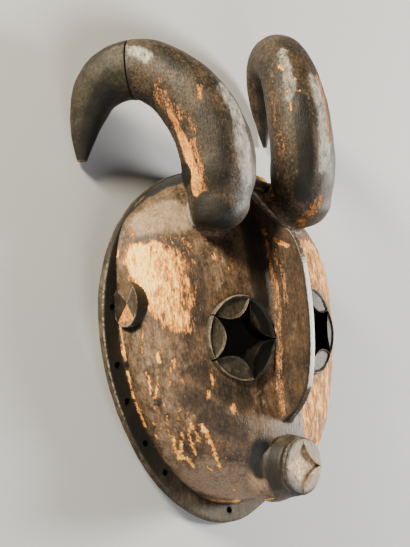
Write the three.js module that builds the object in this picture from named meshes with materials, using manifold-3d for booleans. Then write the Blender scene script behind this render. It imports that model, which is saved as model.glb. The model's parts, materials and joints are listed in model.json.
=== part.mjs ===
// Horned face mask carved from one block of wood: a hollow egg-shaped face with a tie flange,
// two horns that rise from the forehead and curl back, a tall nose blade, flower-shaped eyes,
// stub ears and a round stub mouth. The end of the right horn is a separate, joined tip.
//
// Carving frame, in mm: x to the viewer's right, y up towards the horns, z out of the face.
// z = 0 is the flat back of the flange. At the end the whole mask is laid down on its back.

import * as THREE from "three";
import { mergeVertices } from "three/addons/utils/BufferGeometryUtils.js";
import { ConvexGeometry } from "three/addons/geometries/ConvexGeometry.js";
import Module from "manifold-3d";

const wasm = await Module();
wasm.setup();

// Face: an egg, wider above the middle. A flange runs round the cheeks and the chin, and dies out
// at the forehead, where the dome reaches the edge. The dome fills out towards the chin.
const EGG_HALF_WIDTH = 124.1;
const EGG_HALF_HEIGHT = 144.4;
const EGG_TAPER = 0.1;
const FLANGE_WIDTH = 15.2;
const FLANGE_LEFT_AT_TOP = 1.2;
const FLANGE_NARROWS_FROM = 0.15;
const FLANGE_GONE_AT = 0.7;
const FLANGE_THICKNESS = 7;
const CHIN_TRIM = 0.05;
const CHIN_TRIM_ANGLE = 299;
const CHIN_TRIM_SPREAD = 19;
const DOME_SQUARENESS = 2.65;
const DOME_DEPTH = 70;
const FOREHEAD_DROP = 8;
const FOREHEAD_FROM = 20;
const FOREHEAD_TO = 120;
const CHIN_FULLNESS = 33;
const CHIN_FULLNESS_FROM = -19;
const CHIN_FULLNESS_SPAN = 117;
const WALL = 9.5;
const HOLLOW_BELOW = 5;
const EGG_SIDES = 52;
const DOME_RINGS = 9;

// Horns: base centre, the plane each curls in, and stretches of its centre line as arcs, each
// given by its length and its turn in degrees. Radii are given at HORN_RADII_AT along the line.
const HORN_SIDES = 16;
const HORN_STEP = 9;
const HORN_RADII_AT = [0, 20, 64, 115, 151, 184, 231];
const RIGHT_HORN = {
  side: -1,
  base: [51.3, 105.2, 65.2],
  yaw: 36.4,
  lean: 3.4,
  heading: 85.4,
  stretches: [[19.1, 2], [97.8, 59.8], [66.2, 99.5], [47.3, 21.4]],
  scale: 1,
  radii: [24.5, 29.4, 28.7, 25.1, 23, 17.1, 3.8],
};
const LEFT_HORN = {
  side: 1,
  base: [51.8, 117.3, 57.5],
  yaw: 28.8,
  lean: -2.9,
  heading: 67,
  stretches: [[19.1, 2], [97.8, 61.3], [66.2, 108.4], [47.3, 21.4]],
  scale: 1.06,
  radii: [24.4, 27, 26.1, 22.8, 20.9, 15.6, 3.8],
};
const HORN_LENGTH = 230.4;
const HORN_ROOT_FROM_BASE = [-10, -8, -27];
const HORN_ROOT_RADIUS = 16;
const BALL_DETAIL = 3;
const TIP_JOINT_AT = 139.5;
const JOINT_GAP = 0.3;

// Bank of wood between the horns, at the top edge: corners of its right half
const BANK = [
  [20, 142.8, 28],
  [44, 139.5, 28],
  [20, 142.8, 14],
  [44, 139.5, 14],
  [20, 124, 34],
  [44, 122, 34],
  [30, 120, 14],
];

// Nose blade: points (y, z) of its front outline, from between the horns down to the lip
const BLADE_OUTLINE = [
  [139, 28],
  [114.5, 54.3],
  [99.7, 68.2],
  [88, 80.5],
  [82.5, 90],
  [75, 95.4],
  [64, 100.4],
  [50, 104.3],
  [31, 106.4],
  [10, 107.5],
  [-8, 107],
  [-27, 104.7],
  [-42, 100.8],
  [-56.5, 91],
  [-72, 70.5],
];
const BLADE_BACK = 12;
const BLADE_FOOT_THICKNESS = 12;
const BLADE_THINS_FROM = 62;
const BLADE_THIN_AT = 95;
const BLADE_THICKNESS = 5.4;
const BLADE_REACH = 135;

// Eyes: five lens-shaped petals in a ring round a hole with five hollow sides. Petal ends are
// places round the ring, in degrees from the nose side. The left eye was cut higher and taller.
const EYES = [
  { side: -1, x: 37, y: -3, taller: 1 },
  { side: 1, x: 41.5, y: 6, taller: 1.06 },
];
const EYE_HALF_WIDTH = 31.5;
const EYE_HALF_HEIGHT = 33.8;
const PETAL_ENDS = [0, 77, 149, 211, 283];
const PETAL_RISE = 3;
const PETAL_BULGE = 0.28;
const PETAL_ARC_STEPS = 7;
const DISH_DEPTH = 1.6;
const DISH_RIM = 3.2;
const DISH_SHORTER = 6.3;
const DISH_FLATTER = 0.3;
const EYE_HOLE_INSET = 0.8;
const SLIT_WIDTH = 1.4;

// Mouth: a round stub with a collar, an undercut and a flat end with a four-pointed hollow. The
// profile gives height and radius.
const MOUTH_Y = -95.8;
const MOUTH_TILT = 4.5;
const MOUTH_OVAL = 0.965;
const MOUTH_SIDES = 36;
const MOUTH_PROFILE = [
  [20, 20],
  [58, 30],
  [68, 26],
  [71.5, 24.6],
  [84.4, 22.6],
  [84.6, 20.8],
  [86, 20.8],
  [86.4, 21.8],
  [89.2, 21.2],
];
const STAR_POINTS = 4;
const STAR_TIP_RADIUS = 19.8;
const STAR_SIDE_RADIUS = 11;
const STAR_DEPTH = 3;

// Ears: oval stubs on the sides that end in a low four-sided pyramid
const EAR_X = 110;
const EAR_Y = 25;
const EAR_Z = 16.8;
const EAR_HALF_HEIGHT = 16.8;
const EAR_HALF_DEPTH = 13.8;
const EAR_PYRAMID = 3;
const EAR_APEX_FORWARD = 4;
const EAR_SIDES = 28;
const EAR_ROOT = 22;

// Tie holes through the flange: places round the face, in degrees from the viewer's right
const TIE_HOLE_RADIUS = 2.5;
const TIE_HOLE_SIDES = 12;
const TIE_HOLE_ANGLES = [10.8, -8.4, -20.6, -36.3, -49.7];
const CHIN_HOLE_ANGLE = -91.5;
const TIE_HOLE_PLACE = 0.925;

// Cutting solids run this far past the faces they cut
const PAST = 10;
const MERGE_DISTANCE = 1e-4;

const TURN = 2 * Math.PI;
const X = new THREE.Vector3(1, 0, 0);
const Y = new THREE.Vector3(0, 1, 0);
const Z = new THREE.Vector3(0, 0, 1);
const rad = THREE.MathUtils.degToRad;
const smooth = THREE.MathUtils.smoothstep;
const lerp = THREE.MathUtils.lerp;

// A solid for joining and cutting, from a closed geometry. Faces that shrink to nothing when the
// corners are merged are left out, and a skin that faces inwards is turned.
function solid(geometry) {
  geometry.deleteAttribute("normal");
  geometry.deleteAttribute("uv");
  const merged = mergeVertices(geometry, MERGE_DISTANCE);
  const corners = merged.index.array;
  const faces = [];
  for (let i = 0; i < corners.length; i += 3) {
    const [a, b, c] = corners.slice(i, i + 3);
    if (a !== b && b !== c && c !== a) {
      faces.push(a, b, c);
    }
  }
  const vertProperties = merged.getAttribute("position").array;
  const build = (list) =>
    new wasm.Manifold(
      new wasm.Mesh({ numProp: 3, vertProperties, triVerts: new Uint32Array(list) }),
    );
  const made = build(faces);
  return made.volume() > 0 ? made : build(faces.reverse());
}

function joined(solids) {
  return solids.reduce((whole, next) => whole.add(next));
}

// A closed solid from rings of points that run round the same way, capped at both ends
function skin(rings) {
  const count = rings[0].length;
  const points = rings.flat();
  const faces = [];
  for (let r = 0; r + 1 < rings.length; r++) {
    for (let i = 0; i < count; i++) {
      const a = r * count + i;
      const b = r * count + ((i + 1) % count);
      faces.push(a, b, b + count, a, b + count, a + count);
    }
  }
  const last = (rings.length - 1) * count;
  for (const [start, flip] of [[0, true], [last, false]]) {
    const middle = new THREE.Vector3();
    for (let i = 0; i < count; i++) {
      middle.addScaledVector(new THREE.Vector3(...points[start + i]), 1 / count);
    }
    points.push(middle.toArray());
    for (let i = 0; i < count; i++) {
      const a = start + i;
      const b = start + ((i + 1) % count);
      faces.push(...(flip ? [b, a, points.length - 1] : [a, b, points.length - 1]));
    }
  }
  const geometry = new THREE.BufferGeometry();
  geometry.setAttribute("position", new THREE.Float32BufferAttribute(points.flat(), 3));
  geometry.setIndex(faces);
  return solid(geometry);
}

// A prism along z over an outline of (x, y) points
function prismGeometry(outline, z0, z1) {
  const shape = new THREE.Shape(outline.map(([x, y]) => new THREE.Vector2(x, y)));
  const geometry = new THREE.ExtrudeGeometry(shape, { depth: z1 - z0, bevelEnabled: false });
  return geometry.translate(0, 0, z0);
}

// A point of the egg at an angle from the viewer's right, drawn in by an inset and then shrunk
function eggPoint(angle, inset, size) {
  const s = Math.sin(angle) * size;
  const halfWidth = EGG_HALF_WIDTH - inset;
  const halfHeight = EGG_HALF_HEIGHT - inset;
  return [halfWidth * Math.cos(angle) * size * (1 + EGG_TAPER * s), halfHeight * s];
}

function roundTheFace(pointAt) {
  return Array.from({ length: EGG_SIDES }, (_, i) => pointAt((TURN * i) / EGG_SIDES));
}

// The flange's edge. It is trimmed a little on the viewer's right of the chin.
function flange() {
  const outline = roundTheFace((angle) => {
    const off = (angle - rad(CHIN_TRIM_ANGLE)) / rad(CHIN_TRIM_SPREAD);
    return eggPoint(angle, 0, 1 - CHIN_TRIM * Math.exp(-off * off));
  });
  return solid(prismGeometry(outline, 0, FLANGE_THICKNESS));
}

function flangeWidth(angle) {
  const gone = smooth(Math.sin(angle), FLANGE_NARROWS_FROM, FLANGE_GONE_AT);
  return lerp(FLANGE_WIDTH, FLANGE_LEFT_AT_TOP, gone);
}

// The dome's depth along the middle of the face, at a height
function ridgeDepth(y) {
  const chin = CHIN_FULLNESS * smooth((CHIN_FULLNESS_FROM - y) / CHIN_FULLNESS_SPAN, 0, 1);
  return DOME_DEPTH + chin - FOREHEAD_DROP * smooth(y, FOREHEAD_FROM, FOREHEAD_TO);
}

// The dome as a solid down to a floor. An inset draws it in all round, for the hollow.
function dome(inset, floor) {
  const foot = roundTheFace((angle) => [...eggPoint(angle, flangeWidth(angle) + inset, 1), floor]);
  const rings = [foot];
  for (let r = 0; r <= DOME_RINGS; r++) {
    const climb = ((r / DOME_RINGS) * Math.PI) / 2;
    const size = Math.max(Math.cos(climb), 0) ** (2 / DOME_SQUARENESS);
    const ring = roundTheFace((angle) => {
      const [x, y] = eggPoint(angle, flangeWidth(angle) + inset, size);
      return [x, y, lerp(FLANGE_THICKNESS, ridgeDepth(y) - inset, Math.sin(climb))];
    });
    rings.push(ring);
  }
  return skin(rings);
}

function hornRadius(horn, along) {
  const next = HORN_RADII_AT.findIndex((at) => at >= along);
  const i = Math.max(next, 1);
  const share = (along - HORN_RADII_AT[i - 1]) / (HORN_RADII_AT[i] - HORN_RADII_AT[i - 1]);
  return lerp(horn.radii[i - 1], horn.radii[i], share);
}

// The point, direction and sideways direction of a horn's centre line, at a distance along it
function hornPlace(horn, along) {
  const yaw = rad(horn.yaw);
  const lean = rad(horn.lean);
  const forward = new THREE.Vector3(-horn.side * Math.sin(yaw), 0, Math.cos(yaw));
  const across = new THREE.Vector3(horn.side * Math.cos(yaw), 0, Math.sin(yaw));
  const up = Y.clone().multiplyScalar(Math.cos(lean)).addScaledVector(across, Math.sin(lean));
  const pointing = (heading) =>
    up.clone().multiplyScalar(Math.sin(heading)).addScaledVector(forward, Math.cos(heading));
  const [bx, by, bz] = horn.base;
  const point = new THREE.Vector3(horn.side * bx, by, bz);
  let heading = rad(horn.heading);
  let left = along;
  for (const [length, turn] of horn.stretches) {
    const step = Math.min(left, length);
    const half = (rad(turn) * step) / length / 2;
    const chord = half > 0 ? (step * Math.sin(half)) / half : step;
    point.addScaledVector(pointing(heading + half), chord * horn.scale);
    heading += 2 * half;
    left -= step;
  }
  return { point, direction: pointing(heading), across };
}

// The solid of a horn between two distances along it
function hornSolid(horn, from, to) {
  const stops = [from];
  for (let s = HORN_STEP; s < to; s += HORN_STEP) {
    if (s > from + HORN_STEP / 3 && s < to - HORN_STEP / 3) {
      stops.push(s);
    }
  }
  stops.push(to);
  const rings = stops.map((along) => {
    const { point, direction, across } = hornPlace(horn, along);
    const radius = hornRadius(horn, along);
    const inPlane = new THREE.Vector3().crossVectors(direction, across).normalize();
    const sideways = new THREE.Vector3().crossVectors(inPlane, direction).normalize();
    return Array.from({ length: HORN_SIDES }, (_, i) => {
      const angle = (TURN * (i + 0.5)) / HORN_SIDES;
      const p = point.clone().addScaledVector(sideways, radius * Math.cos(angle));
      return p.addScaledVector(inPlane, radius * Math.sin(angle)).toArray();
    });
  });
  return skin(rings);
}

function ballPoints(radius, [x, y, z]) {
  const position = new THREE.IcosahedronGeometry(radius, BALL_DETAIL).getAttribute("position");
  const centre = new THREE.Vector3(x, y, z);
  return Array.from({ length: position.count }, (_, i) =>
    new THREE.Vector3().fromBufferAttribute(position, i).add(centre),
  );
}

// The elbow where a horn leaves the forehead: a ball drawn out to a smaller one inside the wood
function hornRoot(horn) {
  const [bx, by, bz] = horn.base;
  const [dx, dy, dz] = HORN_ROOT_FROM_BASE;
  const elbow = [
    ...ballPoints(horn.radii[0], [horn.side * bx, by, bz]),
    ...ballPoints(HORN_ROOT_RADIUS, [horn.side * (bx + dx), by + dy, bz + dz]),
  ];
  return solid(new ConvexGeometry(elbow));
}

function bankBetweenHorns() {
  const right = BANK.map(([x, y, z]) => new THREE.Vector3(x, y, z));
  const left = BANK.map(([x, y, z]) => new THREE.Vector3(-x, y, z));
  return solid(new ConvexGeometry([...right, ...left]));
}

// The blade: its outline is closed along the back, and it thins from the foot to the front
function noseBlade() {
  const low = BLADE_OUTLINE[BLADE_OUTLINE.length - 1][0];
  const high = BLADE_OUTLINE[0][0];
  const half = BLADE_THICKNESS / 2;
  const foot = BLADE_FOOT_THICKNESS / 2;
  const outline = [...BLADE_OUTLINE, [low, BLADE_BACK], [high, BLADE_BACK]];
  const side = prismGeometry(outline, -foot, foot);
  side.applyMatrix4(new THREE.Matrix4().makeBasis(Y, Z, X));
  const section = [
    [-foot, BLADE_BACK],
    [foot, BLADE_BACK],
    [foot, BLADE_THINS_FROM],
    [half, BLADE_THIN_AT],
    [half, BLADE_REACH],
    [-half, BLADE_REACH],
    [-half, BLADE_THIN_AT],
    [-foot, BLADE_THINS_FROM],
  ];
  const wedge = prismGeometry(section, -high, -low);
  wedge.applyMatrix4(new THREE.Matrix4().makeBasis(X, Z, Y.clone().negate()));
  return solid(side).intersect(solid(wedge));
}

// The point of an eye's ring at a place round it, drawn in by the given amount
function ringPoint(degrees, inset) {
  const angle = rad(degrees);
  return new THREE.Vector2(
    (EYE_HALF_WIDTH - inset) * Math.cos(angle),
    (EYE_HALF_HEIGHT - inset) * Math.sin(angle),
  );
}

// One petal: the ring outside, and a curve that swells towards the hole inside. Its dish is the
// same outline, drawn in, with its ends cut shorter.
function petalOutline(index, inset, shorter) {
  const from = PETAL_ENDS[index] + shorter;
  const to = (PETAL_ENDS[index + 1] ?? 360) - shorter;
  const start = ringPoint(from, inset);
  const end = ringPoint(to, inset);
  const chord = end.clone().sub(start);
  const inward = new THREE.Vector2(-chord.y, chord.x).normalize();
  const bulge = chord.length() * PETAL_BULGE - inset * DISH_FLATTER;
  const points = [];
  for (let i = 0; i < PETAL_ARC_STEPS; i++) {
    points.push(ringPoint(lerp(from, to, i / PETAL_ARC_STEPS), inset).toArray());
  }
  for (let i = PETAL_ARC_STEPS; i > 0; i--) {
    const t = i / PETAL_ARC_STEPS;
    const p = start.clone().addScaledVector(chord, t);
    points.push(p.addScaledVector(inward, bulge * 4 * t * (1 - t)).toArray());
  }
  return points;
}

// The slit from an eye's hole out to the ring, between two petals
function slit(degrees) {
  const tip = ringPoint(degrees, 0);
  const geometry = new THREE.BoxGeometry(tip.length(), SLIT_WIDTH, DOME_DEPTH * 2);
  geometry.translate(tip.length() / 2, 0, DOME_DEPTH);
  return solid(geometry.rotateZ(tip.angle()));
}

// One eye: its petals, the dishes in them, and the opening between them
function eye({ side, x, y, taller }) {
  const place = (manifold) =>
    (side < 0 ? manifold : manifold.mirror([1, 0, 0]))
      .scale([1, taller, 1])
      .translate([side * x, y, 0]);
  const lens = (i, inset, shorter) =>
    solid(prismGeometry(petalOutline(i, inset, shorter), 0, DOME_DEPTH * 2));
  const lenses = (inset, shorter) => joined(PETAL_ENDS.map((_, i) => lens(i, inset, shorter)));
  const petals = lenses(0, 0);
  const ring = new THREE.Shape().absellipse(
    0,
    0,
    EYE_HALF_WIDTH - EYE_HOLE_INSET,
    EYE_HALF_HEIGHT - EYE_HOLE_INSET,
    0,
    TURN,
  );
  const disc = new THREE.ExtrudeGeometry(ring, {
    depth: DOME_DEPTH * 2,
    bevelEnabled: false,
    curveSegments: 40,
  });
  const opening = joined([solid(disc).subtract(petals), ...PETAL_ENDS.map(slit)]);
  return {
    petals: place(petals),
    dishes: place(lenses(DISH_RIM, DISH_SHORTER)),
    opening: place(opening),
  };
}

// The mouth stub, turned about its own line, and the star-shaped hollow in its end
function mouth() {
  const top = MOUTH_PROFILE[MOUTH_PROFILE.length - 1][0];
  const profile = [[MOUTH_PROFILE[0][0], 0], ...MOUTH_PROFILE, [top, 0]];
  const lathe = new THREE.LatheGeometry(
    profile.map(([height, radius]) => new THREE.Vector2(radius, height)),
    MOUTH_SIDES,
  );
  const outline = [];
  for (let i = 0; i < STAR_POINTS * 2; i++) {
    const angle = (TURN * i) / (STAR_POINTS * 2);
    const radius = i % 2 ? STAR_SIDE_RADIUS : STAR_TIP_RADIUS;
    outline.push([radius * Math.cos(angle), radius * Math.sin(angle)]);
  }
  const star = prismGeometry(outline, top - STAR_DEPTH, top + PAST);
  const place = (geometry) =>
    solid(geometry.scale(MOUTH_OVAL, 1, 1).rotateX(rad(MOUTH_TILT)).translate(0, MOUTH_Y, 0));
  return { stub: place(lathe.rotateX(TURN / 4)), star: place(star) };
}

// An ear stub: an oval cylinder along x whose end rises in four faces to a point
function ear(side) {
  const round = new THREE.CylinderGeometry(1, 1, EAR_ROOT, EAR_SIDES);
  round.rotateX(TURN / 4).translate(0, 0, -EAR_ROOT / 2);
  const corner = (degrees) => new THREE.Vector3(Math.cos(rad(degrees)), Math.sin(rad(degrees)), 0);
  const corners = [45, 135, 225, 315].map(corner);
  const sunk = corners.map((p) => p.clone().setZ(-1));
  const apex = new THREE.Vector3((-side * EAR_APEX_FORWARD) / EAR_HALF_DEPTH, 0, EAR_PYRAMID);
  const pyramid = new ConvexGeometry([...corners, ...sunk, apex]);
  const [stub, point] = [round, pyramid].map((geometry) =>
    solid(
      geometry
        .scale(EAR_HALF_DEPTH, EAR_HALF_HEIGHT, 1)
        .rotateY((side * TURN) / 4)
        .translate(side * EAR_X, EAR_Y, EAR_Z),
    ),
  );
  return stub.add(point);
}

function tieHoles() {
  const otherCheek = TIE_HOLE_ANGLES.map((angle) => 180 - angle);
  return [...TIE_HOLE_ANGLES, ...otherCheek, CHIN_HOLE_ANGLE].map((angle) => {
    const [x, y] = eggPoint(rad(angle), 0, TIE_HOLE_PLACE);
    const length = FLANGE_THICKNESS + 2 * PAST;
    const drill = new THREE.CylinderGeometry(TIE_HOLE_RADIUS, TIE_HOLE_RADIUS, length, TIE_HOLE_SIDES);
    return solid(drill.rotateX(TURN / 4).translate(x, y, length / 2 - PAST));
  });
}

// Everything that is one block of wood
function carvedMask() {
  const hollow = dome(WALL, -HOLLOW_BELOW);
  const lips = mouth();
  const eyes = EYES.map(eye);
  const raised = dome(-PETAL_RISE, 0);
  const sunk = dome(DISH_DEPTH - PETAL_RISE, 0);
  const pads = eyes.map(({ petals, dishes }) => {
    const cutter = dishes.subtract(sunk);
    return petals.intersect(raised).subtract(cutter);
  });
  const outside = joined([
    dome(0, 0),
    flange(),
    lips.stub,
    ear(-1),
    ear(1),
    hornRoot(RIGHT_HORN),
    hornRoot(LEFT_HORN),
    hornSolid(RIGHT_HORN, 0, TIP_JOINT_AT),
    hornSolid(LEFT_HORN, 0, HORN_LENGTH),
    bankBetweenHorns(),
    ...pads,
  ]);
  const cuts = joined([hollow, lips.star, ...eyes.map(({ opening }) => opening), ...tieHoles()]);
  return outside.subtract(cuts).add(noseBlade().subtract(hollow));
}

function joinedTip() {
  return hornSolid(RIGHT_HORN, TIP_JOINT_AT + JOINT_GAP, HORN_LENGTH);
}

function toGeometry(manifold) {
  const { vertProperties, triVerts } = manifold.getMesh();
  const geometry = new THREE.BufferGeometry();
  geometry.setAttribute("position", new THREE.BufferAttribute(vertProperties, 3));
  geometry.setIndex(new THREE.BufferAttribute(triVerts, 1));
  return geometry;
}

// The lowest of the points that pass a test
function lowest(points, passes) {
  return points.filter(passes).reduce((low, p) => (p.z < low.z ? p : low));
}

// The turn that lays the mask on the three places it touches: both horn backs and the chin
function restingTurn(geometries) {
  const points = geometries.flatMap((geometry) => {
    const position = geometry.getAttribute("position");
    return Array.from({ length: position.count }, (_, i) =>
      new THREE.Vector3().fromBufferAttribute(position, i),
    );
  });
  const turn = new THREE.Quaternion();
  for (let pass = 0; pass < 6; pass++) {
    const turned = points.map((p) => p.clone().applyQuaternion(turn));
    const right = lowest(turned, (p) => p.x < 0 && p.y > FOREHEAD_TO);
    const left = lowest(turned, (p) => p.x > 0 && p.y > FOREHEAD_TO);
    const chin = lowest(turned, (p) => p.y < 0);
    const normal = left.clone().sub(chin).cross(right.clone().sub(chin)).normalize();
    turn.premultiply(new THREE.Quaternion().setFromUnitVectors(normal, Z));
  }
  return turn;
}

const wood = new THREE.MeshStandardMaterial({ name: "stained_wood", color: 0x4a3826, roughness: 0.6 });
const tipWood = new THREE.MeshStandardMaterial({ name: "dark_wood", color: 0x2c231b, roughness: 0.5 });

const pieces = [
  ["mask", toGeometry(carvedMask()), wood],
  ["right_horn_tip", toGeometry(joinedTip()), tipWood],
];

const turn = restingTurn(pieces.map(([, geometry]) => geometry));
const box = new THREE.Box3();
for (const [, geometry] of pieces) {
  geometry.applyQuaternion(turn);
  geometry.computeBoundingBox();
  box.union(geometry.boundingBox);
}
const middle = box.getCenter(new THREE.Vector3());

const group = new THREE.Group();
group.name = "karikpo_mask";
for (const [name, geometry, material] of pieces) {
  geometry.translate(-middle.x, -middle.y, -box.min.z);
  geometry.computeVertexNormals();
  const mesh = new THREE.Mesh(geometry, material);
  mesh.name = name;
  group.add(mesh);
}

export default group;
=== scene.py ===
# %% [markdown]
# A carved wooden face mask with two curling horns, a tall nose blade and flower-shaped eyes.
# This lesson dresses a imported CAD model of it: the plain solids give every size and place, and
# each cell below adds what a carver's tools and long use have left on the real wood. The mask
# lies on its back, so the camera looks down on it.

# %% Load the plain solids that fix every size
import json
import math
from itertools import product

import bmesh
import bpy
import numpy as np
from mathutils import Matrix, Vector
from mathutils.bvhtree import BVHTree


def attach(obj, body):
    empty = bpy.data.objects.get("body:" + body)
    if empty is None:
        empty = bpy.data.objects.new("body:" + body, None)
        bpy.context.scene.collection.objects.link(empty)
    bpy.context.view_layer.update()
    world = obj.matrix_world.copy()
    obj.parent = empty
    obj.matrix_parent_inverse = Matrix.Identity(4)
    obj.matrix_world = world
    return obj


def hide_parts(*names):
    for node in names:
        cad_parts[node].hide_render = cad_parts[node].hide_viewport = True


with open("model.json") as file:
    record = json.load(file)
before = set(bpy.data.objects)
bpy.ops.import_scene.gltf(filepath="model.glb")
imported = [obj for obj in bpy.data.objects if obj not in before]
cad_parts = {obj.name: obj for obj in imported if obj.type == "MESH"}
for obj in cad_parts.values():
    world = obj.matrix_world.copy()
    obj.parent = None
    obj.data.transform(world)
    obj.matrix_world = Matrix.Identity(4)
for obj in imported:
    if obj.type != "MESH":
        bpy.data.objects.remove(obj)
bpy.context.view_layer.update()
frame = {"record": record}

# %% [markdown]
# The carver works on an upright block: x to the viewer's right, y up to the horns, z out of the
# face, in millimetres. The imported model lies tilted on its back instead. Three flat places on
# the back of the rim are recorded with the model, and they are enough to find that tilt, so every
# shape below can be written in the carver's own frame and laid down at the end.

# %% Find how the carving block lies
MM = 0.001
CHEEK_HEIGHT = 3.0
flats = {row["name"]: np.array(row["pos_m"]) / MM for row in frame["record"]["mounts"]}
cheeks = flats["back_of_left_cheek"], flats["back_of_right_cheek"]
between_cheeks = (cheeks[0] + cheeks[1]) / 2


def unit(vector):
    return vector / np.linalg.norm(vector)


across = unit(cheeks[0] - cheeks[1])
outward = unit(np.cross(flats["back_of_chin"] - between_cheeks, across))
upward = np.cross(outward, across)
LIE = np.column_stack([across, upward, outward])
BLOCK_ORIGIN = between_cheeks - CHEEK_HEIGHT * upward


def laid_down(points):
    """Points of the carving block, in mm, as metres in the row's frame."""
    return (np.asarray(points) @ LIE.T + BLOCK_ORIGIN) * MM


print("The face looks along", outward.round(4), "from", BLOCK_ORIGIN.round(2), "mm")

# %% [markdown]
# The picture was taken from the viewer's left of the face and a little below its middle, with a
# long lens. The camera comes first, because worn places that are read from the picture are later
# found on the wood by looking along its line of sight. Its place was fitted to the mask's outline
# and is kept as three angles, a distance and the point that the lens looks at.

# %% Place the camera
PICTURE = (410, 547)
SENSOR_MM = 36.0
PIXEL_MM = 0.8214
LENS_PIXELS = 1379.0
CAMERA_ROUND = math.radians(43.10)
CAMERA_RISE = math.radians(-8.57)
CAMERA_ROLL = math.radians(-2.98)
ORIGIN_PIXEL = (217.18, 344.98)

sight = np.array([
    math.sin(CAMERA_ROUND) * math.cos(CAMERA_RISE),
    -math.sin(CAMERA_RISE),
    -math.cos(CAMERA_ROUND) * math.cos(CAMERA_RISE),
])
level = np.array([math.cos(CAMERA_ROUND), 0.0, math.sin(CAMERA_ROUND)])
plumb = np.cross(sight, level)
plumb *= np.sign(plumb[1])
right = math.cos(CAMERA_ROLL) * level + math.sin(CAMERA_ROLL) * plumb
top = -math.sin(CAMERA_ROLL) * level + math.cos(CAMERA_ROLL) * plumb
PICTURE_MIDDLE = (PICTURE[0] / 2, PICTURE[1] / 2)
looked_at = (PICTURE_MIDDLE[0] - ORIGIN_PIXEL[0]) * right + (ORIGIN_PIXEL[1] - PICTURE_MIDDLE[1]) * top
EYEPOINT = PIXEL_MM * (looked_at - LENS_PIXELS * sight)

lens = bpy.data.cameras.new("camera")
lens.sensor_fit = "VERTICAL"
lens.sensor_height = SENSOR_MM
lens.lens = SENSOR_MM * LENS_PIXELS / PICTURE[1]
lens.clip_start = 0.05
camera = bpy.data.objects.new("camera", lens)
turn = Matrix((LIE @ np.column_stack([right, top, -sight])).tolist()).to_4x4()
camera.matrix_world = Matrix.Translation(laid_down(EYEPOINT)) @ turn
bpy.context.collection.objects.link(camera)
bpy.context.scene.camera = camera
print("Camera at", laid_down(EYEPOINT).round(3), "with a", round(lens.lens, 1), "mm lens")

# %% [markdown]
# Every part is a closed skin: rings of points that run round it, joined by strips of faces and
# closed at both ends. One small function makes them all. Its faces carry the number of the finish
# they get, and that number stays with them when parts are joined and cut later.

# %% Helpers that make a closed skin
FINISHES = ["face", "horn", "petal", "blade", "mouth", "ear", "rim", "hollow", "star", "hole"]


def shape(name, points, faces, finish):
    """A mesh object in the carving block, in mm, with one finish on all its faces."""
    mesh = bpy.data.meshes.new(name)
    mesh.from_pydata([tuple(p) for p in points], [], [tuple(f) for f in faces])
    mesh.polygons.foreach_set("material_index", [FINISHES.index(finish)] * len(mesh.polygons))
    for _ in FINISHES:
        mesh.materials.append(None)
    made = bpy.data.objects.new(name, mesh)
    bpy.context.collection.objects.link(made)
    return made


def skin(name, rings, finish):
    """A closed shape from rings of points that run the same way round, capped at both ends."""
    rings = np.asarray(rings, dtype=float)
    count = rings.shape[1]
    points = list(rings.reshape(-1, 3))
    faces = []
    for r in range(len(rings) - 1):
        for i in range(count):
            a = r * count + i
            b = r * count + (i + 1) % count
            faces.append((a, b, b + count, a + count))
    for ring, flip in ((0, True), (len(rings) - 1, False)):
        points.append(rings[ring].mean(axis=0))
        for i in range(count):
            a = ring * count + i
            b = ring * count + (i + 1) % count
            faces.append((b, a, len(points) - 1) if flip else (a, b, len(points) - 1))
    return facing_out(shape(name, points, faces, finish))


def facing_out(made):
    """Turns a closed shape's faces so that they all face outwards."""
    work = bmesh.new()
    work.from_mesh(made.data)
    bmesh.ops.recalc_face_normals(work, faces=work.faces)
    if work.calc_volume(signed=True) < 0:
        bmesh.ops.reverse_faces(work, faces=work.faces)
    work.to_mesh(made.data)
    work.free()
    return made


def prism(name, outline, low, high, finish="hole"):
    """A straight bar along z over an outline of (x, y) points."""
    outline = np.asarray(outline, dtype=float)
    rings = [np.column_stack([outline, np.full(len(outline), z)]) for z in (low, high)]
    return skin(name, rings, finish)


def combined(body, others, operation):
    """Joins shapes to a body, or cuts them out of it, and drops the tools that were used."""
    for other in others:
        step = body.modifiers.new(other.name, "BOOLEAN")
        step.operation = operation
        step.solver = "MANIFOLD"
        step.object = other
    seen = body.evaluated_get(bpy.context.evaluated_depsgraph_get())
    result = bpy.data.meshes.new_from_object(seen)
    body.modifiers.clear()
    body.data = result
    for other in others:
        bpy.data.objects.remove(other)
    return body


def smoothstep(value, start=0.0, end=1.0):
    t = np.clip((np.asarray(value, dtype=float) - start) / (end - start), 0.0, 1.0)
    return t * t * (3 - 2 * t)


def blend(a, b, share):
    return a + (b - a) * share


def fair_curve(at, places, values):
    """A smooth curve through a few values that doesn't swing past them between two places."""
    places, values = np.asarray(places, dtype=float), np.asarray(values, dtype=float)
    slope = np.diff(values) / np.diff(places)
    same_way = slope[1:] * slope[:-1] > 0
    slopes_added = np.where(same_way, slope[1:] + slope[:-1], 1)
    inner = np.where(same_way, 2 * slope[1:] * slope[:-1] / slopes_added, 0)
    tangent = np.concatenate([[slope[0]], inner, [slope[-1]]])
    at = np.clip(at, places[0], places[-1])
    i = np.clip(np.searchsorted(places, at, side="right") - 1, 0, len(slope) - 1)
    step = places[i + 1] - places[i]
    t = (at - places[i]) / step
    bend = tangent[i] + tangent[i + 1] - 2 * slope[i]
    turning = 3 * slope[i] - 2 * tangent[i] - tangent[i + 1]
    return values[i] + step * t * (tangent[i] + t * (turning + t * bend))


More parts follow.
